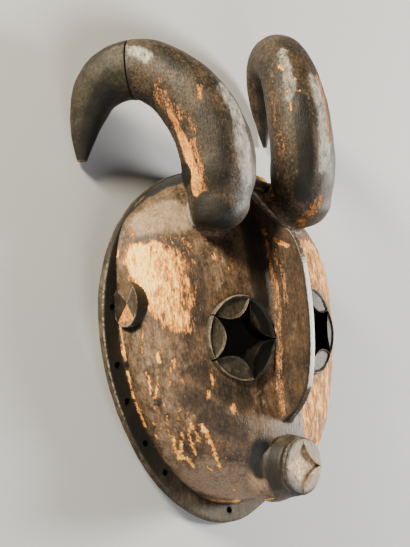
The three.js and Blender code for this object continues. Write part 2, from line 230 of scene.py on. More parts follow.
# %% [markdown]
# The face is an egg in outline, wider above the middle. A narrow rim runs round the cheeks and the
# chin, where the costume was tied on, and it dies out at the forehead. These are the same sizes
# as in the solids, only with a far finer net of points, because the solids have flat facets and
# the wood is round. The net is a square one pressed into the egg: unlike rings that shrink to a
# pole, its cells stay the same size all over, which is what fine carving and wear need.

# %% The face's egg outline and its depth
EGG_HALF_WIDTH = 124.1
EGG_HALF_HEIGHT = 144.4
EGG_TAPER = 0.1
RIM_WIDTH = 15.2
RIM_LEFT_AT_TOP = 1.2
RIM_THICKNESS = 7.0
DOME_SQUARENESS = 2.65
DOME_DEPTH = 70.0
FOREHEAD_DROP = 8.0
CHIN_FULLNESS = 33.0


def egg_point(angle, inset, size):
    s = np.sin(angle) * size
    x = (EGG_HALF_WIDTH - inset) * np.cos(angle) * size * (1 + EGG_TAPER * s)
    return x, (EGG_HALF_HEIGHT - inset) * s


def rim_width(angle):
    return blend(RIM_WIDTH, RIM_LEFT_AT_TOP, smoothstep(np.sin(angle), 0.15, 0.7))


def ridge_depth(y):
    """Depth along the middle of the face, fuller at the chin and lower at the forehead."""
    chin = CHIN_FULLNESS * smoothstep((-19.0 - y) / 117.0)
    return DOME_DEPTH + chin - FOREHEAD_DROP * smoothstep(y, 20.0, 120.0)


def dome_height(y, size, inset):
    rise = np.sqrt(np.clip(1 - np.abs(size) ** DOME_SQUARENESS, 0, 1))
    return blend(RIM_THICKNESS, ridge_depth(y) - inset, rise)


def face_height(x, y, inset=0.0):
    """Height of the face over a place, found by walking in to the egg's own angle and size."""
    angle = np.arctan2(y / EGG_HALF_HEIGHT, x / EGG_HALF_WIDTH)
    for _ in range(6):
        drawn_in = rim_width(angle) + inset
        s = y / (EGG_HALF_HEIGHT - drawn_in)
        c = x / ((EGG_HALF_WIDTH - drawn_in) * (1 + EGG_TAPER * s))
        angle = np.arctan2(s, c)
    return dome_height(y, np.hypot(s, c), inset)


print("Face height at the middle:", round(float(face_height(0.0, 0.0)), 1), "mm")

# %% The dome as an even net
PROFILE_RADIUS = 125.0


def even_sizes(shares):
    """Egg sizes whose spacing is even along the dome's curved profile, not across its plan."""
    size = np.sin(np.linspace(0, np.pi / 2, 400))
    height = DOME_DEPTH * np.sqrt(1 - size ** DOME_SQUARENESS)
    across = np.diff(size, prepend=0) * PROFILE_RADIUS
    length = np.cumsum(np.hypot(across, np.diff(height, prepend=height[0])))
    return np.interp(shares * length[-1], length, size)


def dome(name, inset, floor, cells, finish):
    """The dome down to a floor, drawn in all round by an inset."""
    side = np.linspace(-1, 1, cells + 1)
    a, b = np.meshgrid(side, side, indexing="ij")
    wide = np.abs(a) > np.abs(b)
    with np.errstate(divide="ignore", invalid="ignore"):
        angle = np.where(wide, np.pi / 4 * b / a, np.pi / 2 - np.pi / 4 * a / b)
    angle = np.nan_to_num(angle) + np.where(np.where(wide, a, b) < 0, np.pi, 0)
    size = even_sizes(np.maximum(np.abs(a), np.abs(b)))
    x, y = egg_point(angle, rim_width(angle) + inset, size)
    points = np.stack([x, y, dome_height(y, size, inset)], axis=-1).reshape(-1, 3)
    number = np.arange((cells + 1) ** 2).reshape(cells + 1, cells + 1)
    quads = np.stack([number[:-1, :-1], number[1:, :-1], number[1:, 1:], number[:-1, 1:]], axis=-1)
    border = np.concatenate([number[:-1, 0], number[-1, :-1], number[:0:-1, -1], number[0, :0:-1]])
    foot = points[border].copy()
    foot[:, 2] = floor
    first = len(points)
    points = np.vstack([points, foot, [[0, 0, floor]]])
    faces = [tuple(q) for q in quads.reshape(-1, 4)]
    for i in range(len(border)):
        j = (i + 1) % len(border)
        faces.append((border[i], first + i, first + j, border[j]))
        faces.append((first + i, len(points) - 1, first + j))
    return facing_out(shape(name, points, faces, finish))


FACE_CELLS = 176
face = dome("face_dome", 0.0, 0.0, FACE_CELLS, "face")
print("Face dome:", len(face.data.polygons), "faces")

# %% [markdown]
# The rim is a flat ledge seven millimetres thick, its outer edge rounded by handling. It is
# trimmed a little on the viewer's right of the chin. The ledge is drawn as rings that start under
# the middle, come out along the back, turn round the edge and go back in over the top.

# %% The tie rim
CHIN_TRIM = 0.05
CHIN_TRIM_ANGLE = math.radians(299)
CHIN_TRIM_SPREAD = math.radians(19)
RIM_STEPS = 420
RIM_SECTION = [
    *[(inset, 0.0) for inset in (60, 40, 26, 18, 13, 9, 5, 2.2)],
    (1.0, 0.3), (0.3, 1.0), (0.0, 2.2), (0.0, 3.6), (0.2, 5.0), (0.8, 6.2), (1.9, 6.9),
    *[(inset, 7.0) for inset in (3.2, 4.6, 6.0, 7.5, 9.0, 11, 13, 15.5, 18.5, 24, 60)],
]


def rim():
    angle = np.linspace(0, 2 * np.pi, RIM_STEPS, endpoint=False)
    trim = 1 - CHIN_TRIM * np.exp(-((angle - CHIN_TRIM_ANGLE) / CHIN_TRIM_SPREAD) ** 2)
    rings = []
    for inset, height in RIM_SECTION:
        x, y = egg_point(angle, inset, trim)
        rings.append(np.column_stack([x, y, np.full(RIM_STEPS, height)]))
    return skin("tie_rim", rings, "rim")


tie_rim = rim()
print("Tie rim:", len(tie_rim.data.polygons), "faces")

# %% [markdown]
# The horns grow from the forehead and curl back. Each one's centre line lies in a plane and is a
# row of arcs, given by length and turn, so the curl can be changed with a few numbers. A round
# section is carried along it, and its radius swells and then shrinks to the tip.

# %% Horn sizes and centre lines
HORN_RADII_AT = [0, 20, 64, 115, 151, 184, 231]
RIGHT_HORN = {
    "side": -1, "base": (51.3, 105.2, 65.2), "yaw": 36.4, "lean": 3.4, "heading": 85.4, "scale": 1.0,
    "arcs": [(19.1, 2), (97.8, 59.8), (66.2, 99.5), (47.3, 21.4)],
    "radii": [24.5, 29.4, 28.7, 25.1, 23, 17.1, 3.8],
}
LEFT_HORN = {
    "side": 1, "base": (51.8, 117.3, 57.5), "yaw": 28.8, "lean": -2.9, "heading": 67, "scale": 1.06,
    "arcs": [(19.1, 2), (97.8, 61.3), (66.2, 108.4), (47.3, 21.4)],
    "radii": [24.4, 27, 26.1, 22.8, 20.9, 15.6, 1.6],
}
HORN_LENGTH = 230.4
JOINT_AT = 139.5
JOINT_GAP = 0.3


def horn_place(horn, along):
    """The point, direction and sideways direction of a horn's centre line at a distance along it."""
    yaw = math.radians(horn["yaw"])
    lean = math.radians(horn["lean"])
    side = horn["side"]
    forward = np.array([-side * math.sin(yaw), 0, math.cos(yaw)])
    sideways = np.array([side * math.cos(yaw), 0, math.sin(yaw)])
    rising = np.array([0, math.cos(lean), 0]) + math.sin(lean) * sideways
    heading = math.radians(horn["heading"])
    point = np.array(horn["base"]) * (side, 1, 1)
    left = along
    for length, bend in horn["arcs"]:
        step = min(left, length)
        half = math.radians(bend) * step / length / 2
        chord = step * np.sinc(half / np.pi) * horn["scale"]
        point = point + chord * (math.sin(heading + half) * rising + math.cos(heading + half) * forward)
        heading += 2 * half
        left -= step
    return point, math.sin(heading) * rising + math.cos(heading) * forward, sideways


print("Right horn tip:", horn_place(RIGHT_HORN, HORN_LENGTH)[0].round(1))

# %% Carry the round section along a horn
HORN_SIDES = 104
HORN_STEP = 1.7
EDGE_ROUNDING = 0.9


def horn(name, spec, start, end, finish, rounded=()):
    """A horn between two distances. Ends named in rounded get a softened edge, as at a joint."""
    stops = list(np.linspace(start, end, round((end - start) / HORN_STEP) + 1))
    softened = [(stop, 0.0) for stop in stops]
    for where in rounded:
        inward = 1 if where == start else -1
        softened = [(s, cut) for s, cut in softened if abs(s - where) > EDGE_ROUNDING]
        for turn in np.linspace(0, np.pi / 2, 5):
            offset = EDGE_ROUNDING * (1 - math.sin(turn))
            softened.append((where + inward * offset, EDGE_ROUNDING * (1 - math.cos(turn))))
    softened.sort()
    angle = 2 * np.pi * (np.arange(HORN_SIDES) + 0.5) / HORN_SIDES
    rings = []
    for along, cut in softened:
        point, direction, sideways = horn_place(spec, along)
        radius = fair_curve(along, HORN_RADII_AT, spec["radii"]) - cut
        in_plane = unit(np.cross(direction, sideways))
        aside = unit(np.cross(in_plane, direction))
        circle = np.outer(np.cos(angle), aside) + np.outer(np.sin(angle), in_plane)
        rings.append(point + radius * circle)
    return skin(name, rings, finish)


right_horn = horn("right_horn", RIGHT_HORN, 0, JOINT_AT, "horn", rounded=[JOINT_AT])
left_horn = horn("left_horn", LEFT_HORN, 0, HORN_LENGTH, "horn")
TIP_START = JOINT_AT + JOINT_GAP
horn_tip = horn("horn_tip", RIGHT_HORN, TIP_START, HORN_LENGTH, "horn", rounded=[TIP_START])
print("Horns:", [len(made.data.polygons) for made in (right_horn, left_horn, horn_tip)], "faces")

# %% [markdown]
# Where a horn leaves the forehead the wood makes an elbow: a ball at the horn's foot, drawn back
# to a smaller ball inside the head. The skin that two balls share is their convex hull, which
# Blender makes in one step. The right horn's foot is squarer below, like a boot's heel. The low
# bank of wood between the horns is a hull too, of small balls at its corners, so it has no edges.

# %% Horn elbows and the bank between them
ELBOW_FROM_BASE = np.array([-10, -8, -27])
ELBOW_INNER_RADIUS = 16.0
HEEL_SQUARENESS = (2.1, 3.8)
BANK_ROUNDING = 5.0
BANK_CORNERS = [
    (20, 142.8, 28), (44, 139.5, 28), (20, 142.8, 14), (44, 139.5, 14),
    (20, 124, 34), (44, 122, 34), (30, 120, 14),
]


def hull(name, points, finish):
    work = bmesh.new()
    for point in points:
        work.verts.new(point)
    result = bmesh.ops.convex_hull(work, input=work.verts)
    inside = set(result["geom_interior"]) | set(result["geom_unused"])
    spare = [part for part in inside if isinstance(part, bmesh.types.BMVert)]
    bmesh.ops.delete(work, geom=spare, context="VERTS")
    mesh = bpy.data.meshes.new("hull")
    work.to_mesh(mesh)
    work.free()
    faces = [tuple(p.vertices) for p in mesh.polygons]
    made = shape(name, [v.co for v in mesh.vertices], faces, finish)
    bpy.data.meshes.remove(mesh)
    return facing_out(made)


def ball(radius, centre, steps=46):
    """Points spread evenly over a ball, turned by the golden angle from ring to ring."""
    count = steps * steps
    height = 1 - 2 * (np.arange(count) + 0.5) / count
    turn = np.pi * (3 - math.sqrt(5)) * np.arange(count)
    around = np.sqrt(1 - height ** 2)
    spots = np.column_stack([around * np.cos(turn), around * np.sin(turn), height])
    return np.array(centre) + radius * spots


def heel(points, centre, radius):
    """Squares the lower outer part of a ball: its side stays upright and its underside is flatter."""
    offset = (points - centre) / radius
    level = np.hypot(offset[:, 0], offset[:, 2])
    power = blend(*HEEL_SQUARENESS, smoothstep(-offset[:, 0], -0.4, 0.7))
    size = (level ** power + np.abs(offset[:, 1]) ** power) ** (1 / power)
    return centre + radius * offset * np.where(offset[:, 1] < 0, 1 / size, 1)[:, None]


def elbow(spec):
    side = (spec["side"], 1, 1)
    centre = np.array(spec["base"]) * side
    outer = ball(spec["radii"][0], centre)
    if spec is RIGHT_HORN:
        outer = heel(outer, centre, spec["radii"][0])
    inner = ball(ELBOW_INNER_RADIUS, (np.array(spec["base"]) + ELBOW_FROM_BASE) * side, 20)
    return hull("elbow", np.vstack([outer, inner]), "horn")


elbows = [elbow(RIGHT_HORN), elbow(LEFT_HORN)]
bank_corners = np.array([(side * x, y, z) for x, y, z in BANK_CORNERS for side in (-1, 1)])
bank_middle = bank_corners.mean(axis=0)
drawn_in = bank_corners - BANK_ROUNDING * np.sign(bank_corners - bank_middle) * 0.8
bank = hull("bank", np.vstack([ball(BANK_ROUNDING, corner, 12) for corner in drawn_in]), "face")
print("Elbows:", [len(made.data.polygons) for made in elbows], "faces")

# %% [markdown]
# The nose is a tall thin blade that stands off the face from between the horns to the lip. It is
# thick at the foot, thins in a hollow curve, and ends in a narrow flat front with worn corners.
# It is built as slices from top to bottom, each slice going up one side and down the other.

# %% The nose blade
BLADE_OUTLINE = [
    (139, 28), (114.5, 54.3), (99.7, 68.2), (88, 80.5), (82.5, 90), (75, 95.4), (64, 100.4), (50, 104.3),
    (31, 106.4), (10, 107.5), (-8, 107), (-27, 104.7), (-42, 100.8), (-56.5, 91), (-72, 70.5),
]
BLADE_BACK = 12.0
BLADE_HALF_FOOT = 6.0
BLADE_HALF_FRONT = 2.7
BLADE_FILLET = 2.4
BLADE_SLICES = 122
BLADE_SIDE_STEPS = 34


def blade_half_width(z):
    return blend(BLADE_HALF_FOOT, BLADE_HALF_FRONT, smoothstep(z, 56.0, 97.0))


def blade_front(y):
    heights, depths = np.array(BLADE_OUTLINE).T
    return fair_curve(-y, -heights, depths)


def nose_blade():
    rings = []
    for y in np.linspace(BLADE_OUTLINE[0][0], BLADE_OUTLINE[-1][0], BLADE_SLICES):
        front = blade_front(y)
        z = np.linspace(BLADE_BACK, front - 1.2, BLADE_SIDE_STEPS)
        above_face = np.maximum(z - face_height(BLADE_HALF_FOOT + BLADE_FILLET, y), 0)
        half = blade_half_width(z) + BLADE_FILLET * np.exp(-above_face / BLADE_FILLET)
        nose = [(0.92, front - 0.5), (0.75, front - 0.1), (0.4, front), (0, front + 0.1)]
        left = [(-w, d) for w, d in zip(half, z)]
        left += [(-BLADE_HALF_FRONT * share, d) for share, d in nose]
        ring = left + [(-w, d) for w, d in left[-2::-1]]
        rings.append([(x, y, d) for x, d in ring])
    return skin("nose_blade", rings, "blade")


blade = nose_blade()
print("Nose blade:", len(blade.data.polygons), "faces")

# %% [markdown]
# Each eye is a ring of five raised petals round a hole with five hollow sides. A petal is a lens:
# the eye's ring outside and a curve that swells towards the hole inside. Its outer edge is
# bevelled and catches the light, and its middle is dished. The hole is cut straight through.
# The left eye was cut a little higher and taller, and its outer petal stands prouder.

# %% Eye sizes and petals
EYES = [
    {"side": -1, "x": 37.0, "y": -3.0, "taller": 1.0, "outer_lift": 0.0},
    {"side": 1, "x": 41.5, "y": 6.0, "taller": 1.06, "outer_lift": 2.4},
]
OUTER_PETAL = 2
EYE_HALF_WIDTH = 31.5
EYE_HALF_HEIGHT = 33.8
PETAL_ENDS = [0, 77, 149, 211, 283, 360]
PETAL_BULGE = 0.28
PETAL_RISE = 3.3
PETAL_EDGE_RISE = 1.5
PETAL_BEVEL = 1.1
DISH_DEPTH = 2.0
PETAL_OVERHANG = 1.0
PETAL_ROOT = 6.0


def ring_point(degrees):
    angle = np.radians(degrees)
    return np.stack([EYE_HALF_WIDTH * np.cos(angle), EYE_HALF_HEIGHT * np.sin(angle)], axis=-1)


def petal_inside(index, shares):
    """The curve between two petal ends that swells towards the eye's hole."""
    start, end = ring_point(PETAL_ENDS[index]), ring_point(PETAL_ENDS[index + 1])
    chord = end - start
    inward = unit(np.array([-chord[1], chord[0]]))
    swell = np.linalg.norm(chord) * PETAL_BULGE * 4 * shares * (1 - shares)
    return start + np.outer(shares, chord) + np.outer(swell, inward)


def placed(eye, plan):
    """Turns an eye's own drawing into its place on the face. The left eye is mirrored."""
    flip = 1 if eye["side"] < 0 else -1
    x = eye["side"] * eye["x"] + flip * plan[:, 0]
    return np.column_stack([x, eye["y"] + eye["taller"] * plan[:, 1]])


def petal(eye, index):
    """A petal as slices across the lens, from one pointed end to the other."""
    shares = np.linspace(0.012, 0.988, 44)
    outer = ring_point(blend(PETAL_ENDS[index], PETAL_ENDS[index + 1], shares))
    inner = petal_inside(index, shares)
    lift = eye["outer_lift"] * (index == OUTER_PETAL) * np.sin(np.pi * shares)
    rings = []
    for out, into, lifted in zip(outer, inner, lift):
        width = np.linalg.norm(into - out)
        inward = (into - out) / width
        steps = np.linspace(0, width + PETAL_OVERHANG, 18)
        plan = out + np.outer(steps, inward)
        x, y = placed(eye, plan).T
        rise = lifted + blend(PETAL_EDGE_RISE, PETAL_RISE, smoothstep(steps / PETAL_BEVEL))
        dish = smoothstep((steps - PETAL_BEVEL) / 2.4) * smoothstep((width - steps - 0.2) / 1.5)
        over = face_height(x, y, -(rise - DISH_DEPTH * dish))
        under = face_height(x, y, PETAL_ROOT)
        up = np.column_stack([x, y, over])
        down = np.column_stack([x, y, under])[::-1]
        rings.append(np.vstack([up, down]))
    return skin("petal", rings, "petal")


petals = [petal(eye, index) for eye in EYES for index in range(5)]
print("Petals:", len(petals), "with", len(petals[0].data.polygons), "faces each")

# %% The holes of the eyes
SLIT_WIDTH = 1.2
THROUGH = 160.0


def eye_hole(eye):
    shares = np.linspace(0.02, 0.98, 22)
    outline = np.vstack([petal_inside(index, shares) for index in range(5)])
    parts = [prism("eye_hole", placed(eye, outline), 0, THROUGH)]
    for degrees in PETAL_ENDS[:-1]:
        tip = ring_point(degrees)
        aside = unit(np.array([-tip[1], tip[0]])) * SLIT_WIDTH / 2
        box = np.array([aside, -aside, tip - aside, tip + aside])
        parts.append(prism("slit", placed(eye, box), 0, THROUGH))
    return combined(parts[0], parts[1:], "UNION")


eye_holes = [eye_hole(eye) for eye in EYES]
print("Eye holes are", 2 * EYE_HALF_WIDTH, "by", 2 * EYE_HALF_HEIGHT, "mm over their petals")

# %% [markdown]
# The mouth is a round stub that swells from the chin, with a groove behind its flat end. A pointed
# star is sunk into the end. A profile turned about one line gives the stub, as on a lathe.

# %% The mouth stub and its star
MOUTH_Y = -95.8
MOUTH_TILT = math.radians(4.5)
MOUTH_OVAL = 0.965
MOUTH_SIDES = 120
MOUTH_PROFILE = [
    (20, 20), (40, 26), (52, 29), (58, 29.6), (62, 28.4), (66, 26.8), (68.6, 25.9), (70.6, 25.0),
    (71.9, 24.2), (74, 24.1), (76, 23.9), (78, 23.6), (80, 23.3), (82, 22.9), (83.4, 22.7), (84.1, 22.2),
    (84.5, 21.2),
    (84.9, 20.7), (85.6, 20.7), (86.0, 21.1), (86.2, 21.7), (86.8, 22.0), (87.8, 21.95), (88.6, 21.6),
    (89.1, 20.9), (89.35, 19.5), (89.4, 17), (89.3, 14), (89.2, 10), (89.2, 5),
]
RING_LINE = 71.0
GROOVE = (84.2, 86.4)
STAR_TIP_RADIUS = 19.8
STAR_SIDE_RADIUS = 11.0
STAR_DEPTH = 3.0


def mouth_place(points):
    """Tips a shape drawn round the z line and sets it at the mouth."""
    x, y, z = np.asarray(points, dtype=float).T
    c, s = math.cos(MOUTH_TILT), math.sin(MOUTH_TILT)
    return np.column_stack([x * MOUTH_OVAL, y * c - z * s + MOUTH_Y, y * s + z * c])


def from_mouth_line(points):
    """Distance from the mouth's own line."""
    across_line = (points[:, 1] - MOUTH_Y) * math.cos(MOUTH_TILT) + points[:, 2] * math.sin(MOUTH_TILT)
    return np.hypot(points[:, 0] / MOUTH_OVAL, across_line)


def mouth_height(points):
    """How far out along the mouth's own line a point lies."""
    return (points[:, 1] - MOUTH_Y) * math.sin(MOUTH_TILT) + points[:, 2] * math.cos(MOUTH_TILT)


def mouth():
    """The stub. Below its ring line it is the swelling of the chin and has the face's finish."""
    angle = np.linspace(0, 2 * np.pi, MOUTH_SIDES, endpoint=False)
    rings = []
    for height, radius in MOUTH_PROFILE:
        x, y = radius * np.cos(angle), radius * np.sin(angle)
        rings.append(mouth_place(np.column_stack([x, y, np.full(MOUTH_SIDES, height)])))
    made = skin("mouth", rings, "mouth")
    swelling = sum(height < RING_LINE for height, _ in MOUTH_PROFILE[1:])
    for polygon in made.data.polygons[:swelling * MOUTH_SIDES]:
        polygon.material_index = FINISHES.index("face")
    return made


def star():
    """Four points joined by sides that curve in towards the middle."""
    tips = [STAR_TIP_RADIUS * np.array([math.cos(a), math.sin(a)]) for a in np.linspace(0, 2 * np.pi, 5)]
    outline = []
    for here, there in zip(tips, tips[1:]):
        half_way = unit(here + there)
        sag = STAR_TIP_RADIUS * math.sqrt(0.5) - STAR_SIDE_RADIUS
        for share in np.linspace(0, 1, 8, endpoint=False):
            outline.append(blend(here, there, share) - half_way * sag * 4 * share * (1 - share))
    end = MOUTH_PROFILE[-1][0]
    section = [*[(size, -STAR_DEPTH) for size in (0.3, 0.6, 0.88)], (1, 0.2 - STAR_DEPTH), (1, 10)]
    rings = []
    for size, height in section:
        rings.append(mouth_place([(x * size, y * size, end + height) for x, y in outline]))
    return skin("star", rings, "star")


mouth_stub = mouth()
print("Mouth:", len(mouth_stub.data.polygons), "faces, star", 2 * STAR_TIP_RADIUS, "mm across")

# %% [markdown]
# The ears are oval stubs on the sides of the head. Each ends in a low pyramid with four facets,
# and its point lies a little forward of the middle. Rings that shrink towards the point keep the
# four ridges sharp, because points of every ring lie on them.

# %% The ears
EAR_OUT = {-1: 112.3, 1: 105.5}
EAR_MIDDLE = (25.6, 19.0)
EAR_HALF_HEIGHT = 17.6
EAR_HALF_DEPTH = 14.4
EAR_PYRAMID = 3.6
EAR_APEX_FORWARD = 6.5
EAR_ROOT = 22.0
EAR_SIDES = 96


def ear(side):
    angle = np.linspace(0, 2 * np.pi, EAR_SIDES, endpoint=False)
    oval = np.column_stack([EAR_HALF_DEPTH * np.cos(angle), EAR_HALF_HEIGHT * np.sin(angle)])
    diamond = math.sqrt(0.5) / np.maximum(np.abs(np.cos(angle)), np.abs(np.sin(angle)))
    chord = oval * diamond[:, None]
    apex = np.array([EAR_APEX_FORWARD, 0.0])
    rings = []
    for out in (-EAR_ROOT, -12, -9, -6, -4, -2.5, -1.2, -0.4):
        rings.append(np.column_stack([np.full(EAR_SIDES, out), oval]))
    rings.append(np.column_stack([np.full(EAR_SIDES, 0.0), oval * 0.97]))
    for share in (0, 0.12, 0.24, 0.36, 0.48, 0.6, 0.7, 0.8, 0.88, 0.95):
        plan = blend(chord * 0.99, apex, share)
        rings.append(np.column_stack([np.full(EAR_SIDES, EAR_PYRAMID * share), plan]))
    placed_rings = []
    for ring in rings:
        out, forward, up = ring.T
        x = side * (EAR_OUT[side] + out)
        placed_rings.append(np.column_stack([x, EAR_MIDDLE[0] + up, EAR_MIDDLE[1] + forward]))
    return skin("ear", placed_rings, "ear")


ears = [ear(-1), ear(1)]
print("Ears reach", [EAR_OUT[side] + EAR_PYRAMID for side in (-1, 1)], "mm from the middle")

# %% [markdown]
# The costume was tied to holes along the rim. They were bored one by one, so they aren't quite
# round. The hollow behind the face leaves a wall of about ten millimetres.

# %% Tie holes and the hollow
HOLE_RADIUS = 2.5
HOLE_ANGLES = [10.8, -8.4, -20.6, -36.3, -49.7]
CHIN_HOLE_ANGLE = -91.5
HOLE_PLACE = 0.925
WALL = 9.5
HOLLOW_CELLS = 74


def tie_hole(degrees, x, y):
    """A hole through the rim. It also nicks the cheek, but not the ear that stands over one hole."""
    top = 8.5 if abs(y - EAR_MIDDLE[0]) < EAR_HALF_HEIGHT else 17
    angle = np.linspace(0, 2 * np.pi, 22, endpoint=False)
    radius = HOLE_RADIUS * (1 + 0.08 * np.sin(2 * angle + degrees) + 0.05 * np.sin(3 * angle - degrees))
    outline = np.column_stack([x + radius * np.cos(angle), y + radius * np.sin(angle)])
    return prism("tie_hole", outline, -10, top)


hole_angles = HOLE_ANGLES + [180 - degrees for degrees in HOLE_ANGLES] + [CHIN_HOLE_ANGLE]
hole_places = [egg_point(math.radians(degrees), 0, HOLE_PLACE) for degrees in hole_angles]
tie_holes = [tie_hole(degrees, x, y) for degrees, (x, y) in zip(hole_angles, hole_places)]
hollow = dome("hollow", WALL, -5.0, HOLLOW_CELLS, "hollow")
print(len(tie_holes), "tie holes")

# %% [markdown]
# Now the parts become one block of wood. Boolean modifiers join and cut exactly, as the solids
# were made, and the modifier's result is kept as a plain mesh. The blade is joined last, since it
# must not be cut by the hole of an eye.

# %% Join and cut the block
petal_ring = combined(petals[0], petals[1:], "UNION")
parts = [tie_rim, mouth_stub, *ears, *elbows, right_horn, left_horn, bank, petal_ring]
carved = combined(face, parts, "UNION")
blade_hollow = hollow.copy()
bpy.context.collection.objects.link(blade_hollow)
carved = combined(carved, [hollow, star(), *eye_holes, *tie_holes], "DIFFERENCE")
blade = combined(blade, [blade_hollow], "DIFFERENCE")
carved = combined(carved, [blade], "UNION")
carved.name = "carved_mask"
print("Carved mask:", len(carved.data.vertices), "points,", len(carved.data.polygons), "faces")

# %% [markdown]
# Nothing that is cut by hand is quite even. To give the wood slow waves, and the shallow hollows
# that an adze and a knife leave side by side, the script needs chance that repeats itself: every
# cell of a lattice gets its own number, worked out from its place and a seed. Smooth noise blends
# the eight numbers round a point. Tool marks measure how far the nearest mark's middle is.

# %% Chance that is the same each time
def chance(cells, seed):
    """A number from 0 to 1 for each cell of a lattice."""
    x, y, z = np.moveaxis(cells.astype(np.int64), -1, 0)
    mixed = (x * 73856093) ^ (y * 19349663) ^ (z * 83492791) ^ (seed * 15485863)
    mixed = ((mixed ^ (mixed >> 13)) * 1274126177) & 0xFFFFFFFF
    mixed = ((mixed ^ (mixed >> 15)) * 668265263) & 0xFFFFFFFF
    return (mixed >> 8) / 0xFFFFFF


def soft_noise(points, size, seed):
    """Smooth noise from -1 to 1 whose waves are about as long as the given size."""
    spots = points / size
    cells = np.floor(spots)
    inside = smoothstep(spots - cells)
    total = np.zeros(len(points))
    for corner in product((0, 1), repeat=3):
        share = np.prod(np.where(corner, inside, 1 - inside), axis=1)
        total += share * chance(cells + corner, seed)
    return total * 2 - 1


def tool_marks(points, size, seed):
    """0 in the middle of a tool's mark, rising to about 1 on the ridge where two marks meet."""
    spots = points / np.asarray(size, dtype=float)
    cells = np.floor(spots)
    nearest = np.full(len(points), np.inf)
    for step in product((-1, 0, 1), repeat=3):
        cell = cells + step
        middle = cell + 0.5 + 0.38 * (np.column_stack([chance(cell, seed + k) for k in range(3)]) * 2 - 1)
        nearest = np.minimum(nearest, ((spots - middle) ** 2).sum(axis=1))
    return np.clip(nearest / 0.45, 0, 1.2)


# %% Read a mesh into arrays
def values_of(collection, name, width, kind=np.float32):
    values = np.empty(len(collection) * width, dtype=kind)
    collection.foreach_get(name, values)
    return values.reshape(-1, width) if width > 1 else values


def finish_shares(mesh):
    """For each finish, how much of the faces round every point carries it."""
    face_finish = values_of(mesh.polygons, "material_index", 1, np.int32)
    corner_finish = np.repeat(face_finish, values_of(mesh.polygons, "loop_total", 1, np.int32))
    corner_point = values_of(mesh.loops, "vertex_index", 1, np.int32)
    shares = np.zeros((len(FINISHES), len(mesh.vertices)))
    np.add.at(shares, (corner_finish, corner_point), 1)
    return dict(zip(FINISHES, shares / shares.sum(axis=0)))


def spread(mesh, values, times):
    """Averages values with those of the points next to them, a number of times."""
    a, b = values_of(mesh.edges, "vertices", 2, np.int32).T
    for _ in range(times):
        total = values.copy()
        count = np.ones(len(values))
        np.add.at(total, a, values[b])
        np.add.at(total, b, values[a])
        np.add.at(count, a, 1)
        np.add.at(count, b, 1)
        values = (total.T / count).T
    return values


def standing_out(mesh, points, normals):
    """Above zero where a point stands out on an edge, below zero where it lies in a corner."""
    a, b = values_of(mesh.edges, "vertices", 2, np.int32).T
    offset = points[b] - points[a]
    offset /= np.linalg.norm(offset, axis=1)[:, None] + 1e-9
    total = np.zeros(len(points))
    count = np.zeros(len(points))
    np.add.at(total, a, -(offset * normals[a]).sum(axis=1))
    np.add.at(total, b, (offset * normals[b]).sum(axis=1))
    np.add.at(count, a, 1)
    np.add.at(count, b, 1)
    return total / np.maximum(count, 1)


# %% [markdown]
# A boolean leaves the creases between joined shapes knife-sharp. A carver rounds them, because the
# tool can't reach in, and where the swelling of the chin meets the cheek there is no crease at
# all. Points near a crease are moved to the average of their neighbours, a number of times.

# %% Ease the creases between joined shapes
def eased(made, weight, times):
    mesh = made.data
    points = values_of(mesh.vertices, "co", 3).astype(float)
    share = np.clip(weight, 0, 1)[:, None]
    for _ in range(times):
        points = blend(points, spread(mesh, points, 1), share)
    mesh.vertices.foreach_set("co", points.astype(np.float32).ravel())
    mesh.update()


def creases(mesh):
    """1 in the creases of a mesh, found where its points lie in a corner."""
    points = values_of(mesh.vertices, "co", 3).astype(float)
    normals = values_of(mesh.vertex_normals, "vector", 3).astype(float)
    return smoothstep(-standing_out(mesh, points, normals), 0.06, 0.2), points


CHEEK_TO_CHIN = 34.0
crease, points = creases(carved.data)
from_mouth = np.hypot(points[:, 0], points[:, 1] - MOUTH_Y)
below_ring = 1 - smoothstep(mouth_height(points), RING_LINE - 3, RING_LINE - 1)
swelling = crease * (from_mouth < CHEEK_TO_CHIN) * below_ring * (points[:, 2] > 20)
eased(carved, 3 * spread(carved.data, swelling, 9) * below_ring, 34)
crease, points = creases(carved.data)
horn_share = finish_shares(carved.data)["horn"]
eased(carved, 2 * spread(carved.data, crease * (horn_share > 0), 4), 14)
blade_foot = crease * (finish_shares(carved.data)["blade"] > 0) * (points[:, 2] > 30)
eased(carved, 2 * spread(carved.data, blade_foot, 3), 6)
print("Eased", int((crease * (horn_share > 0) > 0).sum()), "points of the horns' feet")
